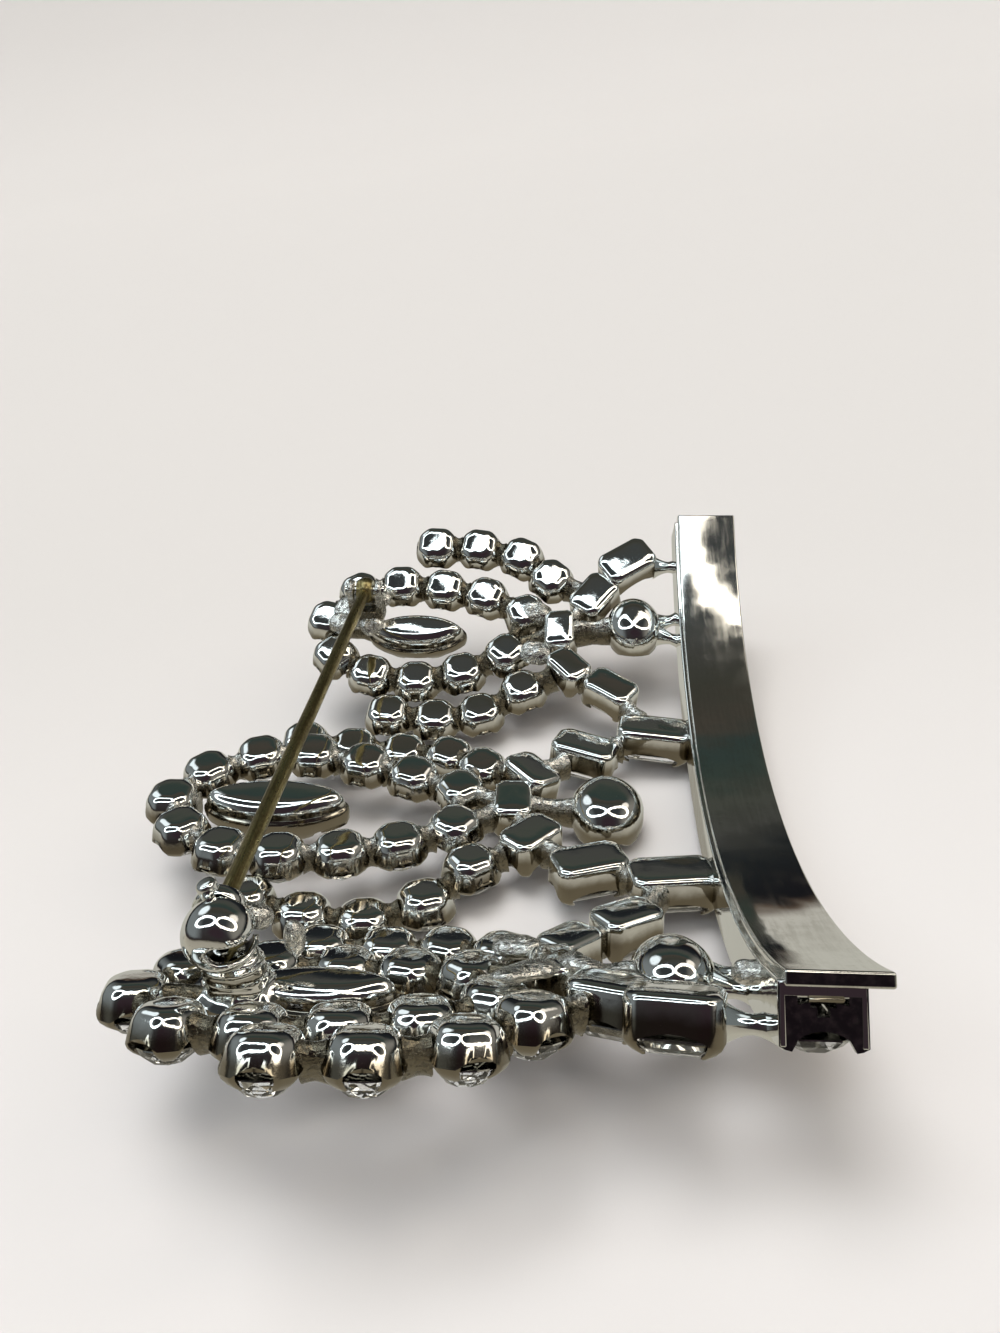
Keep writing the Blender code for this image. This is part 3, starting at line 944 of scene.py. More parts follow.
@dataclass(frozen=True)
class Neck:
    """A neck of solder between two cups, lumpy and taller than it is wide."""

    start: Vector
    end: Vector
    waist: float = 0.60
    flare: float = 0.85
    tall: float = 1.75
    lump: float = 0.10
    seed: float = 0.0
    steps: int = 8

    def build(self) -> Shape:
        """Draws the neck.

        Returns:
            The closed neck, in the crown's frame.
        """
        run = self.end - self.start
        rows = []
        for step in range(self.steps + 1):
            share = step / self.steps
            now = self.waist + (self.flare - self.waist) * abs(2.0 * share - 1.0) ** 1.6
            rows.append((share * run.length, 0.0, now, now * self.tall))
        bm = drawn_rod(rows, 20)
        for vert in bm.verts:
            lump = noise.noise(vert.co * 1.1 + Vector((self.seed * 7.3, 0.0, self.seed)))
            vert.co += vert.normal * lump * self.lump
        along = run.normalized()
        across = along.cross(Vector((0.0, 0.0, 1.0))).normalized()
        turn = Matrix((across, along.cross(across) * -1.0, along)).transposed().to_4x4()
        bm.transform(Matrix.Translation(self.start) @ turn)
        return bm


ROUND_OUTLINE = Outline(StoneKind.ROUND, 4.3, 4.3, 1.05, 0.42)
ROUND_PROFILE = (
    # depth, inset
    (-0.03, 1.72),
    (-0.02, 1.30),
    (0.00, 1.02),
    (0.05, 0.86),
    (0.14, 0.68),
    (0.28, 0.50),
    (0.46, 0.37),
    (0.68, 0.25),
    (0.95, 0.16),
    (1.50, 0.04),
    (2.05, -0.06),
)
BAGUETTE_PROFILE = (
    # depth, inset
    (-0.06, 1.10),
    (-0.04, 0.80),
    (0.00, 0.47),
    (0.04, 0.34),
    (0.12, 0.19),
    (0.24, 0.08),
    (0.42, 0.01),
    (0.70, 0.00),
    (1.70, 0.00),
    (2.55, -0.04),
)
OVAL_PROFILE = (
    # depth, inset
    (-0.84, 2.20),
    (-0.81, 1.85),
    (-0.70, 1.42),
    (-0.50, 1.02),
    (-0.22, 0.66),
    (0.12, 0.36),
    (0.50, 0.14),
    (0.95, 0.02),
    (1.50, 0.00),
    (2.45, 0.00),
)
NAVETTE_PROFILE = (
    # depth, inset
    (-0.12, 1.45),
    (-0.09, 1.25),
    (0.02, 0.98),
    (0.22, 0.70),
    (0.50, 0.48),
    (0.84, 0.36),
    (1.20, 0.33),
    (1.30, 0.27),
    (1.38, 0.12),
    (1.52, 0.02),
    (1.90, 0.00),
    (2.60, 0.10),
    (3.05, 0.28),
)
PROFILES = {
    StoneKind.ROUND: ROUND_PROFILE,
    StoneKind.BAGUETTE: BAGUETTE_PROFILE,
    StoneKind.OVAL: OVAL_PROFILE,
    StoneKind.NAVETTE: NAVETTE_PROFILE,
}


@dataclass(frozen=True)
class MainStone:
    """A stone with a node of its own, and the seat and size of its cup."""

    name: str
    kind: StoneKind
    seat: Seat
    length: float
    width: float

    def cup(self) -> Cup:
        """Returns the stone's cup."""
        return Cup(self.outline(), PROFILES[self.kind], held=0.60)

    def outline(self) -> Outline:
        """Returns the outline of the stone's cup."""
        return Outline(self.kind, self.length, self.width, 0.17 * self.width, 0.26)

    def stone(self) -> CutStone:
        """Returns the cut stone.

        Returns:
            The stone, which is smaller all round than its cup's outline.
        """
        inset = 0.36
        length, width = self.length - 2.0 * inset, self.width - 2.0 * inset
        return CutStone(Outline(self.kind, length, width, 0.20 * width))


@dataclass
class Lily:
    """One fleur-de-lis: chains of round cups, main stones in legs, a throat, a foot and a heart."""

    name: str
    chains: list[tuple[list[Seat], bool]]
    mains: list[MainStone]
    joints: list[tuple[Seat, Seat]]
    pools: tuple[tuple[Seat, Triple], ...] = ()
    solder_depth: float = 1.70
    sunk: float = 0.30

    def build(self) -> None:
        """Builds the lily's cups, solder and stones."""
        self._cups()
        self._solder()
        self._round_stones()
        for main in self.mains:
            stone = Piece(f"stone_{main.name}")
            stone.add(main.stone().build(), CROWN.at(main.seat))
            foil(stone.finish(GLASS, "crown", "clear_stone", (main.name,), 1.0))

    def _round_seats(self) -> list[Seat]:
        """Returns the seats of the round cups, each turned to face its neighbours.

        Returns:
            The seats in the order of the chains.
        """
        seats = []
        for chain, closed in self.chains:
            for index, seat in enumerate(chain):
                before = chain[index - 1] if index or closed else seat
                after = chain[(index + 1) % len(chain)] if index + 1 < len(chain) or closed else seat
                turn = math.degrees(math.atan2(after.along - before.along, after.x - before.x))
                seats.append(Seat(seat.x, seat.along, seat.drop, turn))
        return seats

    def _cups(self) -> None:
        """Builds every cup of the lily as one piece."""
        piece = Piece(f"{self.name}_cups")
        for seat in self._round_seats():
            piece.add(Cup(ROUND_OUTLINE, ROUND_PROFILE).build(), CROWN.at(seat))
        for main in self.mains:
            piece.add(main.cup().build(), CROWN.at(main.seat))
        piece.finish(PLATING, "crown", "bright_metal")

    def _wall(self, seat: Seat, other: Seat) -> float:
        """Returns how far a cup reaches from its middle towards another seat.

        Args:
            seat: where the cup sits.
            other: the seat it reaches towards.

        Returns:
            The length in millimetres, or zero at the band's wall.
        """
        if seat.x == BAND_WALL:
            return 0.0
        ends = [CROWN.local(spot).translation for spot in (seat, other)]
        way = CROWN.local(seat).inverted().to_3x3() @ (ends[1] - ends[0])
        for main in self.mains:
            if (main.seat.x, main.seat.along) == (seat.x, seat.along):
                return main.outline().reach(way)
        return ROUND_OUTLINE.width / 2.0

    def _solder(self) -> None:
        """Builds the necks of solder of the lily as one piece."""
        pairs = list(self.joints)
        for chain, closed in self.chains:
            pairs.extend(zip(chain, chain[1:]))
            if closed:
                pairs.append((chain[-1], chain[0]))
        piece = Piece(f"{self.name}_solder")
        smooth = Piece(f"{self.name}_necks")
        for number, (first, second) in enumerate(pairs):
            ends = [CROWN.local(seat) @ Vector((0.0, 0.0, -self.solder_depth)) for seat in (first, second)]
            way = (ends[1] - ends[0]).normalized()
            start = ends[0] + way * (self._wall(first, second) - self.sunk)
            end = ends[1] - way * (self._wall(second, first) - self.sunk)
            if BAND_WALL in (first.x, second.x):
                smooth.add(Neck(start, end, 0.55, 1.20, 1.0, 0.02, 0.0).build(), CROWN.world(), shallow)
            else:
                neck = Neck(start, end, 0.72, 0.85, 1.80, 0.10, float(number))
                piece.add(neck.build(), CROWN.world(), CROWN.depth)
        smooth.finish(PLATING, "crown", "bright_metal", sharp=80.0)
        for seat, size in self.pools:
            piece.add(lump(size, 0.30, seat.x), CROWN.at(seat))
        piece.finish(SOLDER, "crown", "bright_metal", sharp=80.0)

    def _round_stones(self) -> None:
        """Builds the round stones of the lily as one piece."""
        piece = Piece(f"{self.name}_round_stones")
        shape = CutStone(Outline(StoneKind.ROUND, 3.8, 3.8), 2.20, 3.25, 1.15)
        for seat in self._round_seats():
            piece.add(shape.build(), CROWN.at(seat))
        foil(piece.finish(GLASS, "crown", "clear_stone", sharp=1.0))


@dataclass
class BaseBand:
    """The curved base band, with its channel of square stones."""

    width: float = 5.5
    thick: float = 0.85
    half_arc: float = 31.4
    edge: float = 0.17
    steps: int = 120
    channel_width: float = 4.5
    channel_shift: float = -0.75
    channel_wall: float = 0.45
    channel_depth: float = 3.9
    channel_floor: float = 1.45
    channel_half_arc: float = 30.9
    end_wall: float = 0.5
    arch_half: float = 0.70
    slots: tuple[Triple, ...] = (
        # half width, low, high
        (1.15, -1.80, -1.02),
        (0.30, -2.35, -1.02),
    )
    tab_size: Triple = (1.80, 0.5, 0.42)
    tab_tilt: float = 0.75
    prong_size: Triple = (0.40, 0.95, 0.75)
    stones: int = 15
    stone_length: float = 4.1

    def build(self) -> None:
        """Builds the band, its channel, its end walls and its stones."""
        self._band()
        self._channel()
        self._ends()
        self._stones()

    def _spin(self, bm: Shape, half_arc: float) -> None:
        """Turns a section that stands in the XZ plane round the crown's curve, and closes its end.

        Args:
            bm: the bmesh that holds the section.
            half_arc: half the length of the curve.
        """
        centre = (0.0, 0.0, CROWN.bend_radius)
        swing = half_arc / CROWN.bend_radius
        start = Matrix.Rotation(-swing, 3, "X")
        bmesh.ops.rotate(bm, verts=bm.verts, cent=centre, matrix=start)
        rim = [edge for edge in bm.edges if edge.is_boundary]
        ends = list({vert for edge in rim for vert in edge.verts})
        spun = bmesh.ops.spin(
            bm, geom=ends + rim, cent=centre, axis=(1.0, 0.0, 0.0), angle=2.0 * swing, steps=self.steps
        )
        bmesh.ops.edgeloop_fill(bm, edges=of_kind(spun["geom_last"], bmesh.types.BMEdge))
        outwards(bm)

    def _band(self) -> None:
        """Builds the band itself."""
        bm = bmesh.new()
        bmesh.ops.create_grid(bm, x_segments=1, y_segments=1, size=0.5)
        bmesh.ops.scale(bm, vec=(self.width, self.thick, 1.0), verts=bm.verts)
        rounded(bm, bm.verts[:], self.edge, 4)
        bm.transform(Matrix.Rotation(math.pi / 2.0, 4, "X"))
        bmesh.ops.translate(bm, vec=(0.0, 0.0, -self.thick / 2.0), verts=bm.verts)
        self._spin(bm, self.half_arc)
        piece = Piece("base_band")
        piece.add(bm, CROWN.world())
        made = piece.finish(BAND, "crown", "bright_metal", ("setting",))
        # the end faces, picked by the way they face, get the painted shade finish
        made.data.materials.append(END_SHADE.material())
        for polygon in made.data.polygons:
            if abs(polygon.normal.y) > 0.72 and polygon.area > 2e-6:
                polygon.material_index = 1
        soft_edges(made, 0.13, 3, 50.0)

    def _channel(self) -> None:
        """Builds the channel's two walls and its floor."""
        bm = bmesh.new()
        bmesh.ops.create_grid(bm, x_segments=3, y_segments=2, size=0.5)
        top, floor = self.thick * 0.7, self.channel_floor
        half = self.channel_width / 2.0
        columns = (-half, self.channel_wall - half, half - self.channel_wall, half)
        for vert in bm.verts:
            vert.co.x = columns[round((vert.co.x + 0.5) * 3.0)]
            vert.co.y = (-self.channel_depth, -floor, -top)[round((vert.co.y + 0.5) * 2.0)]
        hollow = [face for face in bm.faces if abs(face.calc_center_median().x) < 0.5]
        hollow = [face for face in hollow if face.calc_center_median().y < -floor]
        bmesh.ops.delete(bm, geom=hollow, context="FACES_ONLY")
        bmesh.ops.dissolve_faces(bm, faces=bm.faces[:])
        bm.transform(Matrix.Rotation(math.pi / 2.0, 4, "X"))
        bmesh.ops.translate(bm, vec=(self.channel_shift, 0.0, 0.0), verts=bm.verts)
        self._spin(bm, self.channel_half_arc)
        piece = Piece("channel")
        piece.add(bm, CROWN.world())
        soft_edges(piece.finish(PLATING, "crown", "bright_metal"), 0.12, 2)

    def _ends(self) -> None:
        """Builds the channel's end walls, each with a slot, a tab and an arch over its stone."""
        piece = Piece("channel_ends")
        tabs = Piece("channel_tabs")
        for side in Side:
            along = side.value * (self.channel_half_arc - self.end_wall / 2.0)
            seat = Seat(self.channel_shift, along, -CROWN.back_level)
            bm = bmesh.new()
            bmesh.ops.create_grid(bm, x_segments=14, y_segments=10, size=0.5)
            for vert in bm.verts:
                across, down = vert.co.x * 2.0, 0.5 - vert.co.y
                arch = max(0.0, 1.0 - (across / self.arch_half) ** 2) ** 0.5
                arch += 1.2 * max(0.0, abs(across) - 0.80) - 0.15
                vert.co.x = across * (self.channel_width / 2.0 - 0.02)
                vert.co.y = -self.thick * 0.8 - down * (self.channel_depth - self.thick * 0.8 - arch)
            slot = []
            for face in bm.faces:
                spot = face.calc_center_median()
                if any(abs(spot.x) < half and low < spot.y < high for half, low, high in self.slots):
                    slot.append(face)
            bmesh.ops.delete(bm, geom=slot, context="FACES")
            bm.transform(Matrix.Rotation(math.pi / 2.0, 4, "X"))
            bmesh.ops.translate(bm, vec=(0.0, -self.end_wall / 2.0, 0.0), verts=bm.verts)
            bmesh.ops.recalc_face_normals(bm, faces=bm.faces)
            if bm.faces[:][0].normal.y > 0.0:
                bmesh.ops.reverse_faces(bm, faces=bm.faces)
            bmesh.ops.solidify(bm, geom=bm.faces[:], thickness=self.end_wall)
            piece.add(bm, CROWN.at(seat))
            tab = rounded_block(self.tab_size, 0.08, 2)
            tilt = Matrix.Rotation(side.value * -self.tab_tilt, 3, "X")
            bmesh.ops.rotate(tab, verts=tab.verts, matrix=tilt)
            bmesh.ops.translate(tab, vec=(0.15, side.value * 0.10, -1.45), verts=tab.verts)
            tabs.add(tab, CROWN.at(seat))
        # the end walls get the painted shade finish
        piece.finish(END_SHADE, "crown", "bright_metal")
        tabs.finish(PLATING, "crown", "bright_metal")

    def _stones(self) -> None:
        """Builds the row of square stones and the prongs between them."""
        pitch = 2.0 * (self.channel_half_arc - 0.6) / self.stones
        prongs = Piece("channel_prongs")
        across = self.channel_width - 2.0 * self.channel_wall - 0.2
        outline = Outline(StoneKind.BAGUETTE, across, self.stone_length, 0.6)
        for number in range(self.stones):
            along = (number - (self.stones - 1) / 2.0) * pitch
            label = f"{number + 1:02d}"
            piece = Piece(f"channel_stone_{label}")
            place = CROWN.at(Seat(self.channel_shift, along, 0.0))
            piece.add(CutStone(outline, 1.62, 2.5, -0.2).build(), place)
            foil(piece.finish(GLASS, "crown", "clear_stone", (f"base_stone_{label}",), 1.0))
        deep = self.channel_depth - CROWN.back_level + 0.25
        for number in range(1, self.stones):
            seat = Seat(self.channel_shift, (number - self.stones / 2.0) * pitch, 0.0)
            for side in Side:
                bm = bmesh.new()
                bmesh.ops.create_cube(bm, size=1.0)
                bmesh.ops.scale(bm, vec=self.prong_size, verts=bm.verts)
                low = [vert for vert in bm.verts if vert.co.z < 0.0]
                bmesh.ops.translate(bm, vec=(-0.60 * side.value, 0.0, 0.0), verts=low)
                bmesh.ops.scale(bm, vec=(1.0, 0.7, 1.0), verts=low)
                rounded(bm, bm.edges[:], 0.1, 2)
                edge = side.value * (self.channel_width / 2.0 - 0.26)
                bmesh.ops.translate(bm, vec=(edge, 0.0, -deep), verts=bm.verts)
                prongs.add(bm, CROWN.at(seat))
        prongs.finish(PLATING, "crown", "bright_metal")


@dataclass
class PinAndHinge:
    """The tarnished pin with its eye, the rivet that it turns on and the bracket that holds it."""

    hinge: Vector = Vector((-33.5, 23.2, 5.0))
    catch: Vector = Vector((-34.5, -22.8, 6.1))
    radius: float = 0.56
    point: float = 2.4
    past_catch: float = 0.9
    eye_radius: float = 1.3
    eye_width: float = 1.5
    rivet_radius: float = 0.45
    ear_place: float = 1.35
    ear_thick: float = 0.6
    ear_radius: float = 1.05
    ear_drop: float = 1.75
    collar: float = 1.6
    tip_shares: tuple[float, ...] = (0.2, 0.4, 0.6, 0.8, 0.93, 1.0)

    def along_stem(self, place: Vector) -> Matrix:
        """Returns a frame at a place of the pin, with its Y axis running back along the stem.

        Args:
            place: the frame's origin in the crown's frame.

        Returns:
            The matrix from that frame to the crown's frame.
        """
        back = (self.hinge - self.catch).normalized()
        right = back.cross(Vector((0.0, 0.0, 1.0))).normalized()
        turn = Matrix((right, back, right.cross(back))).transposed().to_4x4()
        return Matrix.Translation(place) @ turn

    def build(self) -> None:
        """Builds the pin, the rivet and the bracket."""
        self._pin()
        self._rivet()
        self._bracket()

    def _pin(self) -> None:
        """Builds the stem and its eye."""
        length = (self.hinge - self.catch).length + self.past_catch
        run = length - self.point - self.collar
        rows = [(0.0, 0.5), (1.0, 0.62)]
        rows += [(self.collar + run * step / 12.0, self.radius) for step in range(13)]
        for share in self.tip_shares:
            left = 1.0 - share
            rows.append((length - self.point * left, self.radius * left**0.75 + 0.04))
        bm = drawn_rod([(place, 0.0, radius, radius) for place, radius in rows], 28)
        bm.transform(Matrix.Rotation(math.pi / 2.0, 4, "X"))
        piece = Piece("pin")
        piece.add(bm, CROWN.world() @ self.along_stem(self.hinge))
        piece.add(self._eye(), CROWN.world() @ Matrix.Translation(self.hinge))
        piece.finish(BRASS, "pin", "dull_brass", ("pin_stem",), 50.0)

    def _eye(self) -> Shape:
        """Returns the pin's rounded eye, turned about the X axis.

        Returns:
            The closed ring of the eye.
        """
        bore = self.rivet_radius + 0.12
        half = self.eye_width / 2.0
        profile = ((bore, -half), (bore + 0.45, -half), (1.22, -0.45), (self.eye_radius, 0.0))
        profile += ((1.22, 0.45), (bore + 0.45, half), (bore, half))
        return spun_ring(profile, "X", 36)

    def _rivet(self) -> None:
        """Builds the rivet with its domed heads."""
        reach = self.ear_place + self.ear_thick / 2.0 + 0.12
        head = self.rivet_radius * 1.6
        profile = (
            (0.02, -reach - 0.36), (head * 0.6, -reach - 0.30), (head * 0.95, -reach - 0.14), (head, -reach),
            (self.rivet_radius, -reach), (self.rivet_radius, reach), (head, reach),
            (head * 0.95, reach + 0.14), (head * 0.6, reach + 0.30), (0.02, reach + 0.36),
        )
        piece = Piece("rivet")
        piece.add(spun_ring(profile, "X", 28), CROWN.world() @ Matrix.Translation(self.hinge))
        piece.finish(PLATING, "crown", "bright_metal", ("hinge_rivet",), 40.0)

    def _bracket(self) -> None:
        """Builds the bracket's pad and its two rounded ears."""
        piece = Piece("hinge_bracket")
        for x, along, size in BRACKET_SOLDER:
            piece.add(lump(size, 0.28, x), CROWN.at(Seat(x, along, 1.9)))
        low = rounded_block((3.3, 2.2, 1.3), 0.3)
        bmesh.ops.translate(low, vec=(0.0, -0.05, -2.5), verts=low.verts)
        piece.add(low, CROWN.world() @ Matrix.Translation(self.hinge))
        for side in (-1.0, 1.0):
            ear = bmesh.new()
            bmesh.ops.create_cone(
                ear, cap_ends=True, segments=32, radius1=self.ear_radius, radius2=self.ear_radius,
                depth=self.ear_thick, matrix=Matrix.Rotation(math.pi / 2.0, 4, "Y"),
            )
            for vert in ear.verts:
                if vert.co.z < -0.02:
                    vert.co.z -= self.ear_drop
                    vert.co.y *= 1.0 + 0.12 * (-vert.co.z / 2.8)
            rims = [edge for edge in ear.edges if edge.calc_face_angle(0.0) > 1.0]
            rounded(ear, rims, 0.14, 2)
            bmesh.ops.translate(ear, vec=(side * self.ear_place, 0.0, 0.0), verts=ear.verts)
            piece.add(ear, CROWN.world() @ Matrix.Translation(self.hinge))
        piece.finish(SOLDER, "crown", "bright_metal", sharp=45.0)


def spun_ring(profile: tuple[tuple[float, float], ...], axis: str, steps: int) -> Shape:
    """Spins a closed profile all the way round an axis.

    Args:
        profile: points of radius and place along the axis.
        axis: "X" or "Y".
        steps: how many steps there are round the axis.

    Returns:
        The closed ring.
    """
    bm = bmesh.new()
    along = Vector((1.0, 0.0, 0.0)) if axis == "X" else Vector((0.0, 1.0, 0.0))
    verts = [bm.verts.new(along * place + Vector((0.0, 0.0, radius))) for radius, place in profile]
    rim = [bm.edges.new((verts[index - 1], verts[index])) for index in range(len(verts))]
    bmesh.ops.spin(
        bm, geom=verts + rim, cent=(0.0, 0.0, 0.0), axis=along, angle=2.0 * math.pi, steps=steps,
        use_merge=True,
    )
    outwards(bm)
    return bm


def lump(size: Triple, rough: float, seed: float) -> Shape:
    """Draws a lump of solder.

    Args:
        size: the lump's half sizes.
        rough: how far its bumps stand out.
        seed: picks the bumps.

    Returns:
        The closed lump about its middle.
    """
    bm = bmesh.new()
    bmesh.ops.create_icosphere(bm, subdivisions=4, radius=1.0)
    bmesh.ops.scale(bm, vec=size, verts=bm.verts)
    outwards(bm)
    for vert in bm.verts:
        vert.co += vert.normal * rough * noise.noise(vert.co * 0.9 + Vector((seed * 3.1, seed, 0.0)))
    return bm


def rounded_block(size: Triple, edge: float, segments: int = 3) -> Shape:
    """Draws a block with rounded edges.

    Args:
        size: the block's size.
        edge: the radius of its edges.
        segments: how many steps the edges have.

    Returns:
        The closed block about its middle.
    """
    bm = bmesh.new()
    bmesh.ops.create_cube(bm, size=1.0)
    bmesh.ops.scale(bm, vec=size, verts=bm.verts)
    rounded(bm, bm.edges[:], edge, segments)
    outwards(bm)
    return bm


@dataclass
class Catch:
    """The ball-shaped catch with its open mouth, its flared foot and the barrel that turns in it."""

    pin: PinAndHinge
    radius: float = 2.3
    wall: float = 0.36
    length: float = 3.3
    hood_shift: Vector = Vector((0.40, 0.0, -0.50))
    mouth_end: Vector = Vector((0.45, 0.0, -0.05))
    mouth_radius: float = 0.74
    bore: float = 0.74
    barrel_radius: float = 1.05
    collar_radius: float = 1.70
    barrel_front: float = 0.5
    barrel_back: float = 2.0
    collar_front: float = 1.15
    slot_top: float = math.radians(-12.0)
    slot_end: float = math.radians(275.0)
    knob_radius: float = 0.65
    tab_turn: float = math.radians(-18.0)
    tab_depth: float = 1.6
    tab_out: float = 1.45
    tab_edge: float = 0.30
    ball_turn: float = math.radians(110.0)
    ball_radius: float = 0.80
    ball_out: float = 2.4
    ball_along: float = 0.30
    ball_neck: float = 0.9

    def build(self) -> None:
        """Builds the hood, the foot and the barrel."""
        place = CROWN.world() @ self.pin.along_stem(self.pin.catch)
        self._hood(place)
        self._foot(place)
        self._barrel(place)

    @staticmethod
    def _turned(profile: tuple, first: float, last: float, steps: int) -> Shape:
        """Spins a closed profile part of the way round the Y axis, from +X towards +Z.

        Args:
            profile: each corner's radius and place along the axis.
            first: the angle at which the wall starts, in radians.
            last: the angle at which it ends.
            steps: how many steps it takes.

        Returns:
            The closed shape.
        """
        bm = bmesh.new()
        verts = [bm.verts.new((0.0, place, radius)) for radius, place in profile]
        face = bm.faces.new(verts)
        turn = Matrix.Rotation(math.pi / 2.0 - last, 3, "Y")
        bmesh.ops.rotate(bm, verts=bm.verts, matrix=turn)
        spun = bmesh.ops.spin(
            bm, geom=face.verts[:] + face.edges[:], cent=(0.0, 0.0, 0.0), axis=(0.0, 1.0, 0.0),
            angle=last - first, steps=steps,
        )
        bmesh.ops.edgeloop_fill(bm, edges=of_kind(spun["geom_last"], bmesh.types.BMEdge))
        outwards(bm)
        return bm

    def _hood(self, place: Matrix) -> None:
        """Builds the hood, whose wall bulges like a ball.

        Args:
            place: where the catch stands in the world.
        """
        bm = bmesh.new()
        verts = []
        for step in range(25):
            angle = math.pi * (0.02 + 0.64 * step / 24.0)
            spread = math.sin(angle) ** 0.62 * self.radius
            verts.append(bm.verts.new((0.0, -math.cos(angle) * self.length * 0.58, spread)))
        rim = [bm.edges.new(pair) for pair in zip(verts, verts[1:])]
        bmesh.ops.spin(
            bm, geom=verts + rim, cent=(0.0, 0.0, 0.0), axis=(0.0, 1.0, 0.0),
            angle=2.0 * math.pi, steps=72, use_merge=True,
        )
        sides = []
        for degrees in range(90, 271, 30):
            out = Vector((math.cos(math.radians(degrees)), 0.0, math.sin(math.radians(degrees))))
            sides.append((self.mouth_end + out * self.mouth_radius, out))
        for spot, out in sides:
            bmesh.ops.bisect_plane(
                bm, geom=bm.verts[:] + bm.edges[:] + bm.faces[:], dist=1e-5, plane_co=spot, plane_no=out
            )
        mouth = []
        for face in bm.faces:
            middle = face.calc_center_median()
            if middle.y < 1.0 and all((middle - spot).dot(out) < 0.0 for spot, out in sides):
                mouth.append(face)
        bmesh.ops.delete(bm, geom=mouth, context="FACES")
        bmesh.ops.remove_doubles(bm, verts=bm.verts, dist=0.05)
        bmesh.ops.translate(bm, vec=self.hood_shift, verts=bm.verts)
        outwards_open(bm)
        piece = Piece("catch_hood")
        piece.add(bm, place, shallow)
        made = piece.finish(PLATING, "crown", "bright_metal", sharp=50.0)
        # the inside of the hood's wall gets the painted shade finish
        made.data.materials.append(SHADE.material())
        wall = made.modifiers.new("wall", "SOLIDIFY")
        wall.thickness = self.wall * MM
        wall.offset = -1.0
        wall.material_offset = 1

    def _foot(self, place: Matrix) -> None:
        """Builds the flared foot under the hood, down to its pad on the cups.

        Args:
            place: where the catch stands in the world.
        """
        bm = drawn_rod(FOOT_ROWS, 48)
        for vert in bm.verts:
            if vert.co.z < -3.4:
                vert.co += vert.normal * noise.noise(vert.co * 1.1) * 0.20
        piece = Piece("catch_foot")
        piece.add(bm, place @ Matrix.Translation((0.15, 0.0, -0.25)), self._foot_depth)
        piece.finish(PLATING, "crown", "bright_metal", sharp=70.0)
        drop = Piece("catch_solder")
        drop.add(lump((0.70, 0.70, 1.30), 0.10, 2.0), place @ Matrix.Translation((4.3, 1.5, -2.0)), shallow)
        drop.finish(SOLDER, "crown", "bright_metal", sharp=80.0)

    @staticmethod
    def _foot_depth(point: Vector) -> float:
        """Returns a depth that puts painted shade on the foot's collar, and leaves its rims and its flare
        bright.
        """
        return 1.15 if -3.1 < point.z < -2.5 else 0.0

    def _barrel(self, place: Matrix) -> None:
        """Builds the slotted barrel, with its collar and two knobs.

        Args:
            place: where the catch stands in the world.
        """
        profile = (
            (self.bore, self.barrel_front), (self.bore, self.barrel_back),
            (self.collar_radius - 0.08, self.barrel_back), (self.collar_radius, self.barrel_back - 0.1),
            (self.collar_radius, self.collar_front + 0.1), (self.collar_radius - 0.08, self.collar_front),
            (self.barrel_radius, self.collar_front), (self.barrel_radius, self.barrel_front),
        )
        piece = Piece("barrel")
        piece.add(self._turned(profile, self.slot_top, self.slot_end, 40), place, shallow)
        middle = (self.barrel_back + self.collar_front) / 2.0
        tab = bmesh.new()
        bmesh.ops.create_cone(
            tab, cap_ends=True, segments=32, radius1=self.knob_radius, radius2=self.knob_radius,
            depth=self.tab_depth,
        )
        rims = [edge for edge in tab.edges if edge.calc_face_angle(0.0) > 1.0]
        rounded(tab, rims, self.tab_edge, 4)
        bmesh.ops.translate(tab, vec=(0.0, 0.0, self.tab_out), verts=tab.verts)
        turn = Matrix.Rotation(self.tab_turn, 4, "Y")
        piece.add(tab, place @ Matrix.Translation((0.0, middle, 0.0)) @ turn, shallow)
        ball = Piece("barrel_knob")
        knob = bmesh.new()
        bmesh.ops.create_uvsphere(knob, u_segments=24, v_segments=12, radius=self.ball_radius)
        low = [vert for vert in knob.verts if vert.co.z < -0.3]
        bmesh.ops.translate(knob, vec=(0.0, 0.0, -self.ball_neck), verts=low)
        bmesh.ops.translate(knob, vec=(0.0, 0.0, self.ball_out), verts=knob.verts)
        turn = Matrix.Rotation(self.ball_turn, 4, "Y")
        out = Matrix.Translation((0.0, middle + self.ball_along, 0.0))
        ball.add(knob, place @ out @ turn, shallow)
        ball.finish(SOLDER, "barrel", "bright_metal", sharp=80.0)
        piece.finish(PLATING, "barrel", "bright_metal", ("catch_barrel",), 40.0)


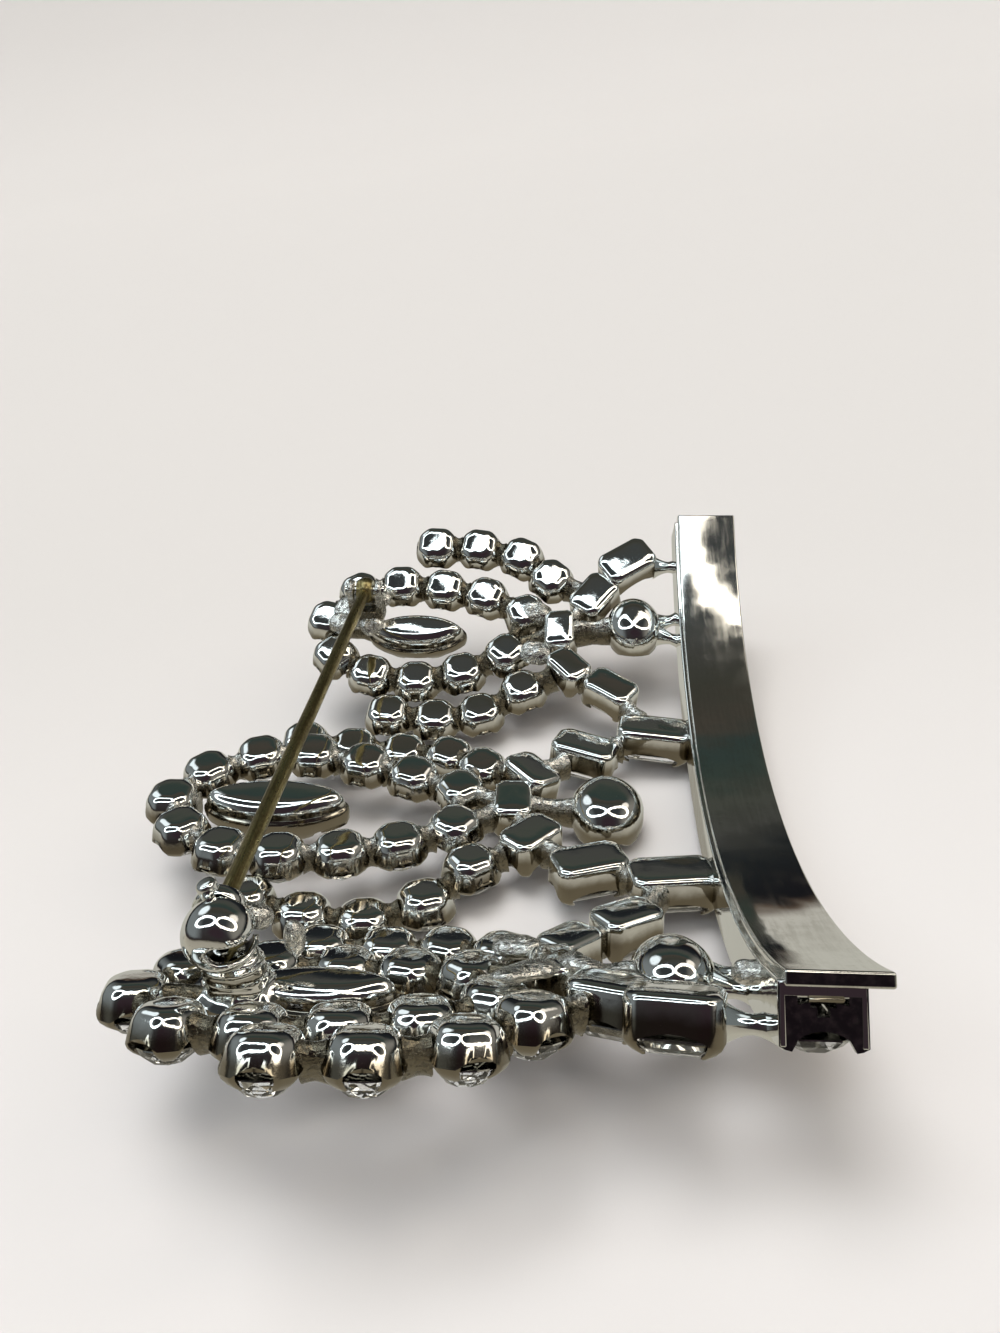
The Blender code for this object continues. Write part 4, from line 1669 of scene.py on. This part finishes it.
@dataclass
class Studio:
    """The pale floor, the soft light, the room that the metal mirrors, and the camera."""

    camera_place: Vector = Vector((-13.90, -64.21, 49.83))
    right: Vector = Vector((0.99795069, 0.05935785, -0.02389679))
    up: Vector = Vector((-0.01058261, 0.52142153, 0.85323361))
    forward: Vector = Vector((-0.06310641, 0.85123219, -0.52098114))
    focal: float = 1000.0
    picture: tuple[int, int] = (1000, 1333)

    def build(self) -> None:
        """Builds the studio."""
        self._camera()
        self._floor()
        self._lamps()
        self._room()
        bpy.context.scene.view_settings.view_transform = "Standard"

    def _camera(self) -> None:
        """Sets the camera at the photograph's place."""
        data = bpy.data.cameras.new("camera")
        data.sensor_width = 36.0
        data.lens = 36.0 * self.focal / max(self.picture)
        data.clip_start = 0.005
        turn = Matrix((self.right, self.up, -self.forward)).transposed().to_4x4()
        world = Matrix.Rotation(CROWN.tilt, 4, "Y") @ turn
        world.translation = CROWN.world() @ self.camera_place
        camera = bpy.data.objects.new("camera", data)
        camera.matrix_world = world
        bpy.context.scene.collection.objects.link(camera)
        bpy.context.scene.camera = camera

    def _floor(self) -> None:
        """Lays the pale floor, which the metal doesn't mirror."""
        bm = bmesh.new()
        bmesh.ops.create_grid(bm, x_segments=1, y_segments=1, size=1.5)
        back = [edge for edge in bm.edges if all(vert.co.y > 1.0 for vert in edge.verts)]
        made = bmesh.ops.extrude_edge_only(bm, edges=back)["geom"]
        bmesh.ops.translate(bm, vec=(0.0, 0.3, 1.6), verts=of_kind(made, bmesh.types.BMVert))
        corner = [edge for edge in bm.edges if len(edge.link_faces) == 2]
        rounded(bm, corner, 0.8, 16)
        mesh = bpy.data.meshes.new("floor")
        bmesh.ops.recalc_face_normals(bm, faces=bm.faces)
        bm.to_mesh(mesh)
        bm.free()
        mesh.shade_smooth()
        mesh.materials.append(Floor().material())
        floor = bpy.data.objects.new("floor", mesh)
        floor.visible_glossy = False
        bpy.context.scene.collection.objects.link(floor)

    def _lamps(self) -> None:
        """Hangs the soft lamps that light the floor."""
        for name, spot, spread, power in SOFT_LAMPS:
            data = bpy.data.lights.new(name, "SUN")
            data.angle = math.radians(spread)
            data.energy = power
            lamp = bpy.data.objects.new(name, data)
            lamp.rotation_euler = (Vector(spot)).to_track_quat("Z", "Y").to_euler()
            lamp.visible_glossy = False
            bpy.context.scene.collection.objects.link(lamp)

    def _room(self) -> None:
        """Paints the room as the metal mirrors it: dark, with bright sides and two ring lamps."""
        world = bpy.data.worlds.new("room")
        world.use_nodes = True
        bpy.context.scene.world = world
        recipe = Recipe(world.node_tree)
        way = recipe.node("ShaderNodeTexCoord", {}, {}, "Generated")
        across, ahead, above = (self._towards(recipe, way, axis) for axis in Matrix.Identity(3))
        angle = recipe.node("ShaderNodeMath", {"operation": "ARCTAN2"}, {0: above, 1: ahead})
        stops = tuple((degrees / 360.0 + 0.5, colour) for degrees, colour in ROOM_RAMP)
        share = angle * (0.5 / math.pi) + 0.5
        tone = recipe.node("ShaderNodeValToRGB", {"stops": stops}, {"Fac": share})
        raised = above.smooth_step(0.05, 0.20)
        for sign, low, high, colour in ROOM_SIDES:
            tone = recipe.blend((across * sign).smooth_step(low, high) * raised, tone, colour)
        for centre, inner, outer, colour in ROOM_PANELS:
            dot = self._towards(recipe, way, Vector(centre).normalized())
            mask = dot.smooth_step(math.cos(math.radians(outer)), math.cos(math.radians(inner)))
            tone = recipe.blend(mask, tone, colour)
        for centre, outer, inner, colour in RING_LAMPS:
            lit = 1.0 - self._oval(recipe, way, centre, outer).smooth_step(0.88, 1.0)
            hole = self._oval(recipe, way, centre, inner).smooth_step(0.85, 1.15)
            tone = recipe.blend(lit * hole, tone, colour)
        background = world.node_tree.nodes["Background"]
        world.node_tree.links.new(tone.socket, background.inputs["Color"])

    def _oval(self, recipe: Recipe, way: Wire, centre: tuple, half: tuple[float, float]) -> Wire:
        """Returns how far a direction is from the middle of an oval, squared.

        Args:
            recipe: the world's recipe.
            way: the direction.
            centre: the oval's middle.
            half: its half width and half height, in degrees.

        Returns:
            0 in the middle, and 1 on the oval.
        """
        middle = Vector(centre).normalized()
        right = Vector((1.0, 0.0, 0.0)) - middle * middle.x
        right.normalize()
        facing = self._towards(recipe, way, middle)
        total = 9.0 - facing.smooth_step(0.0, 0.1) * 9.0
        for axis, degrees in ((right, half[0]), (middle.cross(right), half[1])):
            reach = facing.at_least(0.05) * math.tan(math.radians(degrees))
            share = self._towards(recipe, way, axis) / reach
            total = total + share * share
        return total

    @staticmethod
    def _towards(recipe: Recipe, way: Wire, aim: Triple) -> Wire:
        """Returns how far a direction points towards an aim, from -1 to 1."""
        values = {0: way, 1: tuple(aim)}
        return recipe.node("ShaderNodeVectorMath", {"operation": "DOT_PRODUCT"}, values, "Value")


SOFT_LAMPS = (
    # name, direction, spread in degrees, power
    ("lamp_over", (-0.10, 0.16, 1.0), 34.0, 1.9),
    ("lamp_front", (0.2, -0.5, 0.7), 70.0, 1.0),
)
ROOM_RAMP = (
    # degrees from the horizon ahead, over the top, colour
    (-180.0, (0.10, 0.09, 0.07)),
    (-172.0, (0.36, 0.33, 0.27)),
    (-120.0, (0.47, 0.44, 0.36)),
    (-60.0, (0.44, 0.42, 0.36)),
    (-32.0, (0.50, 0.49, 0.43)),
    (-6.5, (0.52, 0.50, 0.45)),
    (-3.0, (0.10, 0.07, 0.05)),
    (0.0, (0.008, 0.008, 0.010)),
    (16.0, (0.016, 0.019, 0.021)),
    (22.0, (0.060, 0.060, 0.055)),
    (33.0, (0.062, 0.066, 0.055)),
    (39.0, (0.038, 0.052, 0.044)),
    (46.0, (0.032, 0.048, 0.044)),
    (52.0, (0.060, 0.052, 0.042)),
    (64.0, (0.045, 0.045, 0.036)),
    (72.0, (0.055, 0.055, 0.050)),
    (84.0, (0.050, 0.056, 0.056)),
    (92.0, (0.035, 0.040, 0.042)),
    (140.0, (0.040, 0.036, 0.038)),
    (175.0, (0.030, 0.025, 0.024)),
)
ROOM_SIDES = (
    # side, where it starts and is full, colour
    (1.0, 0.55, 0.90, (0.22, 0.205, 0.18)),
    (-1.0, 0.45, 0.85, (0.19, 0.21, 0.215)),
)
ROOM_PANELS = (
    # direction, inner and outer angle, colour
    ((0.72, 0.30, 0.62), 7.0, 13.0, (1.1, 1.0, 0.88)),
    ((-0.55, 0.52, 0.66), 9.0, 15.0, (1.0, 1.1, 1.15)),
    ((0.12, -0.80, 0.60), 10.0, 30.0, (0.034, 0.022, 0.027)),
)
RING_LAMPS = (
    # direction, half width and half height outside and inside, colour
    ((-0.407, -0.127, 0.905), (31.5, 21.5), (24.5, 14.0), (3.6, 4.0, 4.2)),
    ((0.588, -0.113, 0.801), (31.5, 21.5), (24.5, 14.0), (4.2, 3.9, 3.4)),
)


BRACKET_SOLDER = (
    # x, along, half sizes
    (-34.4, 22.8, (2.6, 2.1, 0.85)),
    (-36.0, 21.4, (1.5, 1.2, 1.0)),
    (-32.7, 24.2, (1.4, 1.3, 0.9)),
    (-33.0, 21.2, (1.3, 1.0, 0.8)),
)
FOOT_ROWS = (
    # height, middle, half length, half width
    (-1.75, 0.40, 1.80, 1.20),
    (-1.90, 0.44, 1.92, 1.34),
    (-2.05, 0.48, 1.95, 1.38),
    (-2.22, 0.52, 2.02, 1.45),
    (-2.34, 0.55, 2.08, 1.50),
    (-2.46, 0.58, 2.02, 1.44),
    (-2.70, 0.62, 1.95, 1.38),
    (-3.05, 0.66, 1.96, 1.38),
    (-3.20, 0.68, 2.04, 1.46),
    (-3.32, 0.70, 2.08, 1.50),
    (-3.46, 0.70, 2.00, 1.42),
    (-3.80, 0.72, 1.98, 1.40),
    (-4.10, 0.74, 2.12, 1.55),
    (-4.35, 0.76, 2.45, 1.90),
    (-4.55, 0.78, 2.85, 2.25),
)
MIDDLE_LOOP = (
    # x, along, drop
    (-46.6, 0.0, -0.2),
    (-44.6, 3.5, -0.2),
    (-40.6, 5.7, 0.0),
    (-35.9, 6.1, 0.1),
    (-31.2, 5.3, 0.3),
    (-26.8, 4.0, 0.4),
    (-22.5, 2.15, 0.2),
)
MIDDLE_ARM = (
    # x, along, drop
    (-20.9, 5.7, 1.1),
    (-24.2, 8.2, 2.5),
    (-28.7, 9.3, 3.5),
    (-33.3, 9.4, 3.0),
    (-37.7, 9.1, 1.9),
)
SIDE_LOOP = (
    # x, along, drop, near shift
    (-17.7, 22.9, 1.2, 0.0),
    (-21.8, 25.0, 1.7, 0.0),
    (-26.1, 25.9, 1.9, 0.2),
    (-30.6, 26.3, 2.0, 0.6),
    (-34.9, 25.6, 2.1, 1.4),
    (-37.7, 22.4, 1.8, 2.1),
    (-36.6, 18.7, 1.9, 1.6),
    (-32.8, 16.9, 2.2, 0.4),
    (-28.3, 16.5, 2.6, 0.0),
    (-23.8, 17.2, 2.2, 0.0),
    (-19.5, 18.8, 1.5, 0.0),
)
SIDE_OUTER_ARM = (
    # x, along, drop, near shift
    (-15.2, 26.4, 0.8, 0.2),
    (-18.3, 29.0, 1.4, 0.5),
    (-22.7, 30.1, 1.8, 1.2),
    (-27.2, 30.3, 1.9, 1.9),
)
SIDE_INNER_ARM = (
    # x, along, drop, near shift
    (-17.8, 15.2, 2.0, 0.0),
    (-21.8, 13.3, 2.9, 0.0),
    (-26.1, 12.9, 3.3, 0.0),
    (-30.7, 13.2, 3.1, 0.2),
)
MIDDLE_STONES = (
    # name, kind, x, along, drop, length, width, turn
    ("leg_lower", "baguette", -5.8, 8.8, -0.2, 6.4, 3.8, -8.0),
    ("leg_upper", "baguette", -11.8, 7.0, 0.1, 5.7, 3.8, -20.0),
    ("neck", "baguette", -16.3, 3.9, 0.0, 4.8, 3.4, -48.0),
)
AXIS_STONES = (
    # name, kind, x, along, drop, length, width, turn
    ("throat", "baguette", -17.9, 0.3, 0.0, 4.4, 3.2, 90.0),
    ("foot", "oval", -10.2, 0.0, 0.0, 6.0, 6.8, 0.0),
    ("heart", "navette", -37.8, 0.0, 0.0, 12.4, 5.2, 0.0),
)
SIDE_STONES = (
    # name, kind, x, along, drop, length, width, turn
    ("leg_lower", "baguette", -7.7, 27.6, -0.2, 5.4, 3.8, 32.0),
    ("leg_upper", "baguette", -11.0, 24.2, 0.3, 4.8, 3.6, 52.0),
    ("throat", "baguette", -14.4, 20.4, 0.4, 4.2, 3.0, 90.0),
    ("leg_inner", "baguette", -13.3, 16.6, 0.6, 4.2, 3.1, -48.0),
    ("leg_foot", "baguette", -9.4, 13.9, 0.2, 4.8, 3.4, -35.0),
    ("foot", "oval", -7.1, 20.9, 0.0, 5.2, 6.0, 0.0),
    ("heart", "navette", -28.6, 21.2, 2.0, 10.0, 4.4, 0.0),
)
BAND_WALL = -2.3
MIDDLE_LEAN = {Side.FAR: -16.0, Side.NEAR: 0.0}
SOLDER_POOLS = {
    Side.FAR: ((Seat(-16.6, 18.3, 1.7), (1.6, 1.3, 0.9)), (Seat(-16.6, 22.6, 1.7), (1.6, 1.3, 0.9))),
    Side.NEAR: (
        (Seat(-15.9, -23.3, 0.5, 25.0), (2.3, 1.0, 0.60)),
        (Seat(-12.6, -21.8, 0.6, -30.0), (1.7, 0.9, 0.60)),
        (Seat(-16.6, -18.5, 0.8), (1.7, 1.1, 0.70)),
        (Seat(-3.3, -23.6, -0.1), (0.70, 0.70, 0.70)),
    ),
}
NEAR_TURNS = {"leg_lower": -12.0, "leg_upper": -24.0}
NEAR_HEART_LEAN = 10.0
FAR_LEAN = -8.0


def middle_lily() -> Lily:
    """Returns the middle fleur-de-lis.

    Returns:
        The lily with its chains, stone cups and joints.
    """
    mains = {}
    for name, kind, x, along, drop, length, width, turn in AXIS_STONES:
        seat = Seat(x, along, drop, turn)
        mains[name] = MainStone(f"{kind}_middle_{name}", StoneKind(kind), seat, length, width)
    far = [Seat(*row) for row in MIDDLE_LOOP[1:]]
    near = [seat.mirrored(Side.NEAR) for seat in reversed(far)]
    chains = [([Seat(*MIDDLE_LOOP[0])] + far + near, True)]
    throat, foot = mains["throat"].seat, mains["foot"].seat
    joints = [(Seat(*MIDDLE_LOOP[0]), Seat(-42.6, 0.0, 0.3)), (throat, foot)]
    for side in Side:
        legs = []
        for name, kind, x, along, drop, length, width, turn in MIDDLE_STONES:
            seat = replace(Seat(x, along, drop, turn).mirrored(side), lean=MIDDLE_LEAN[side])
            label = f"{kind}_middle_{name}_{side.name.lower()}"
            mains[label] = MainStone(label, StoneKind(kind), seat, length, width)
            legs.append(seat)
        arm = [Seat(*row).mirrored(side) for row in MIDDLE_ARM]
        last = Seat(*MIDDLE_LOOP[-1]).mirrored(side)
        chains.append((arm, False))
        joints += [(legs[0], Seat(BAND_WALL, legs[0].along, 0.0)), (legs[0], legs[1]), (legs[1], legs[2])]
        joints += [(legs[2], throat), (arm[0], legs[2]), (arm[0], last), (throat, last)]
    return Lily("middle", chains, list(mains.values()), joints)


def side_lily(side: Side) -> Lily:
    """Returns a side fleur-de-lis.

    Args:
        side: the side that it is on.

    Returns:
        The fleur-de-lis.
    """
    label = side.name.lower()
    loop, outer, inner = (
        [Seat(x, along, drop).mirrored(side, shift) for x, along, drop, shift in table]
        for table in (SIDE_LOOP, SIDE_OUTER_ARM, SIDE_INNER_ARM)
    )
    mains = {}
    for name, kind, x, along, drop, length, width, turn in SIDE_STONES:
        seat = Seat(x, along, drop, turn).mirrored(side)
        if side is Side.NEAR:
            lean = NEAR_HEART_LEAN if name == "heart" else 0.0
            seat = replace(seat, turn=NEAR_TURNS.get(name, seat.turn), lean=lean)
        elif kind == "baguette":
            seat = replace(seat, lean=FAR_LEAN)
        mains[name] = MainStone(f"{kind}_{label}_{name}", StoneKind(kind), seat, length, width)
    seats = {name: main.seat for name, main in mains.items()}
    foot, throat = seats["foot"], seats["throat"]
    middle_leg = Seat(*MIDDLE_STONES[0][2:5]).mirrored(side)
    joints = [
        (seats["leg_lower"], Seat(BAND_WALL, seats["leg_lower"].along, 0.0)),
        (foot, Seat(BAND_WALL, foot.along + 1.3, 0.0)),
        (foot, Seat(BAND_WALL, foot.along - 1.3, 0.0)),
        (seats["leg_lower"], seats["leg_upper"]),
        (seats["leg_upper"], throat),
        (throat, seats["leg_inner"]),
        (seats["leg_inner"], seats["leg_foot"]),
        (throat, foot),
        (throat, loop[0]),
        (throat, loop[-1]),
        (outer[0], seats["leg_upper"]),
        (inner[0], seats["leg_inner"]),
        (loop[5], seats["heart"]),
        (seats["leg_foot"], middle_leg),
    ]
    pools = SOLDER_POOLS[side]
    return Lily(label, [(loop, True), (outer, False), (inner, False)], list(mains.values()), joints, pools)


def main() -> None:
    """Builds the brooch and its studio."""
    logging.basicConfig(level=logging.INFO, format="%(message)s")
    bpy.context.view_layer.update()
    Studio().build()
    BaseBand().build()
    for lily in (middle_lily(), side_lily(Side.FAR), side_lily(Side.NEAR)):
        lily.build()
    pin = PinAndHinge()
    pin.build()
    Catch(pin).build()
    bpy.context.view_layer.update()


if __name__ == "__main__":
    main()
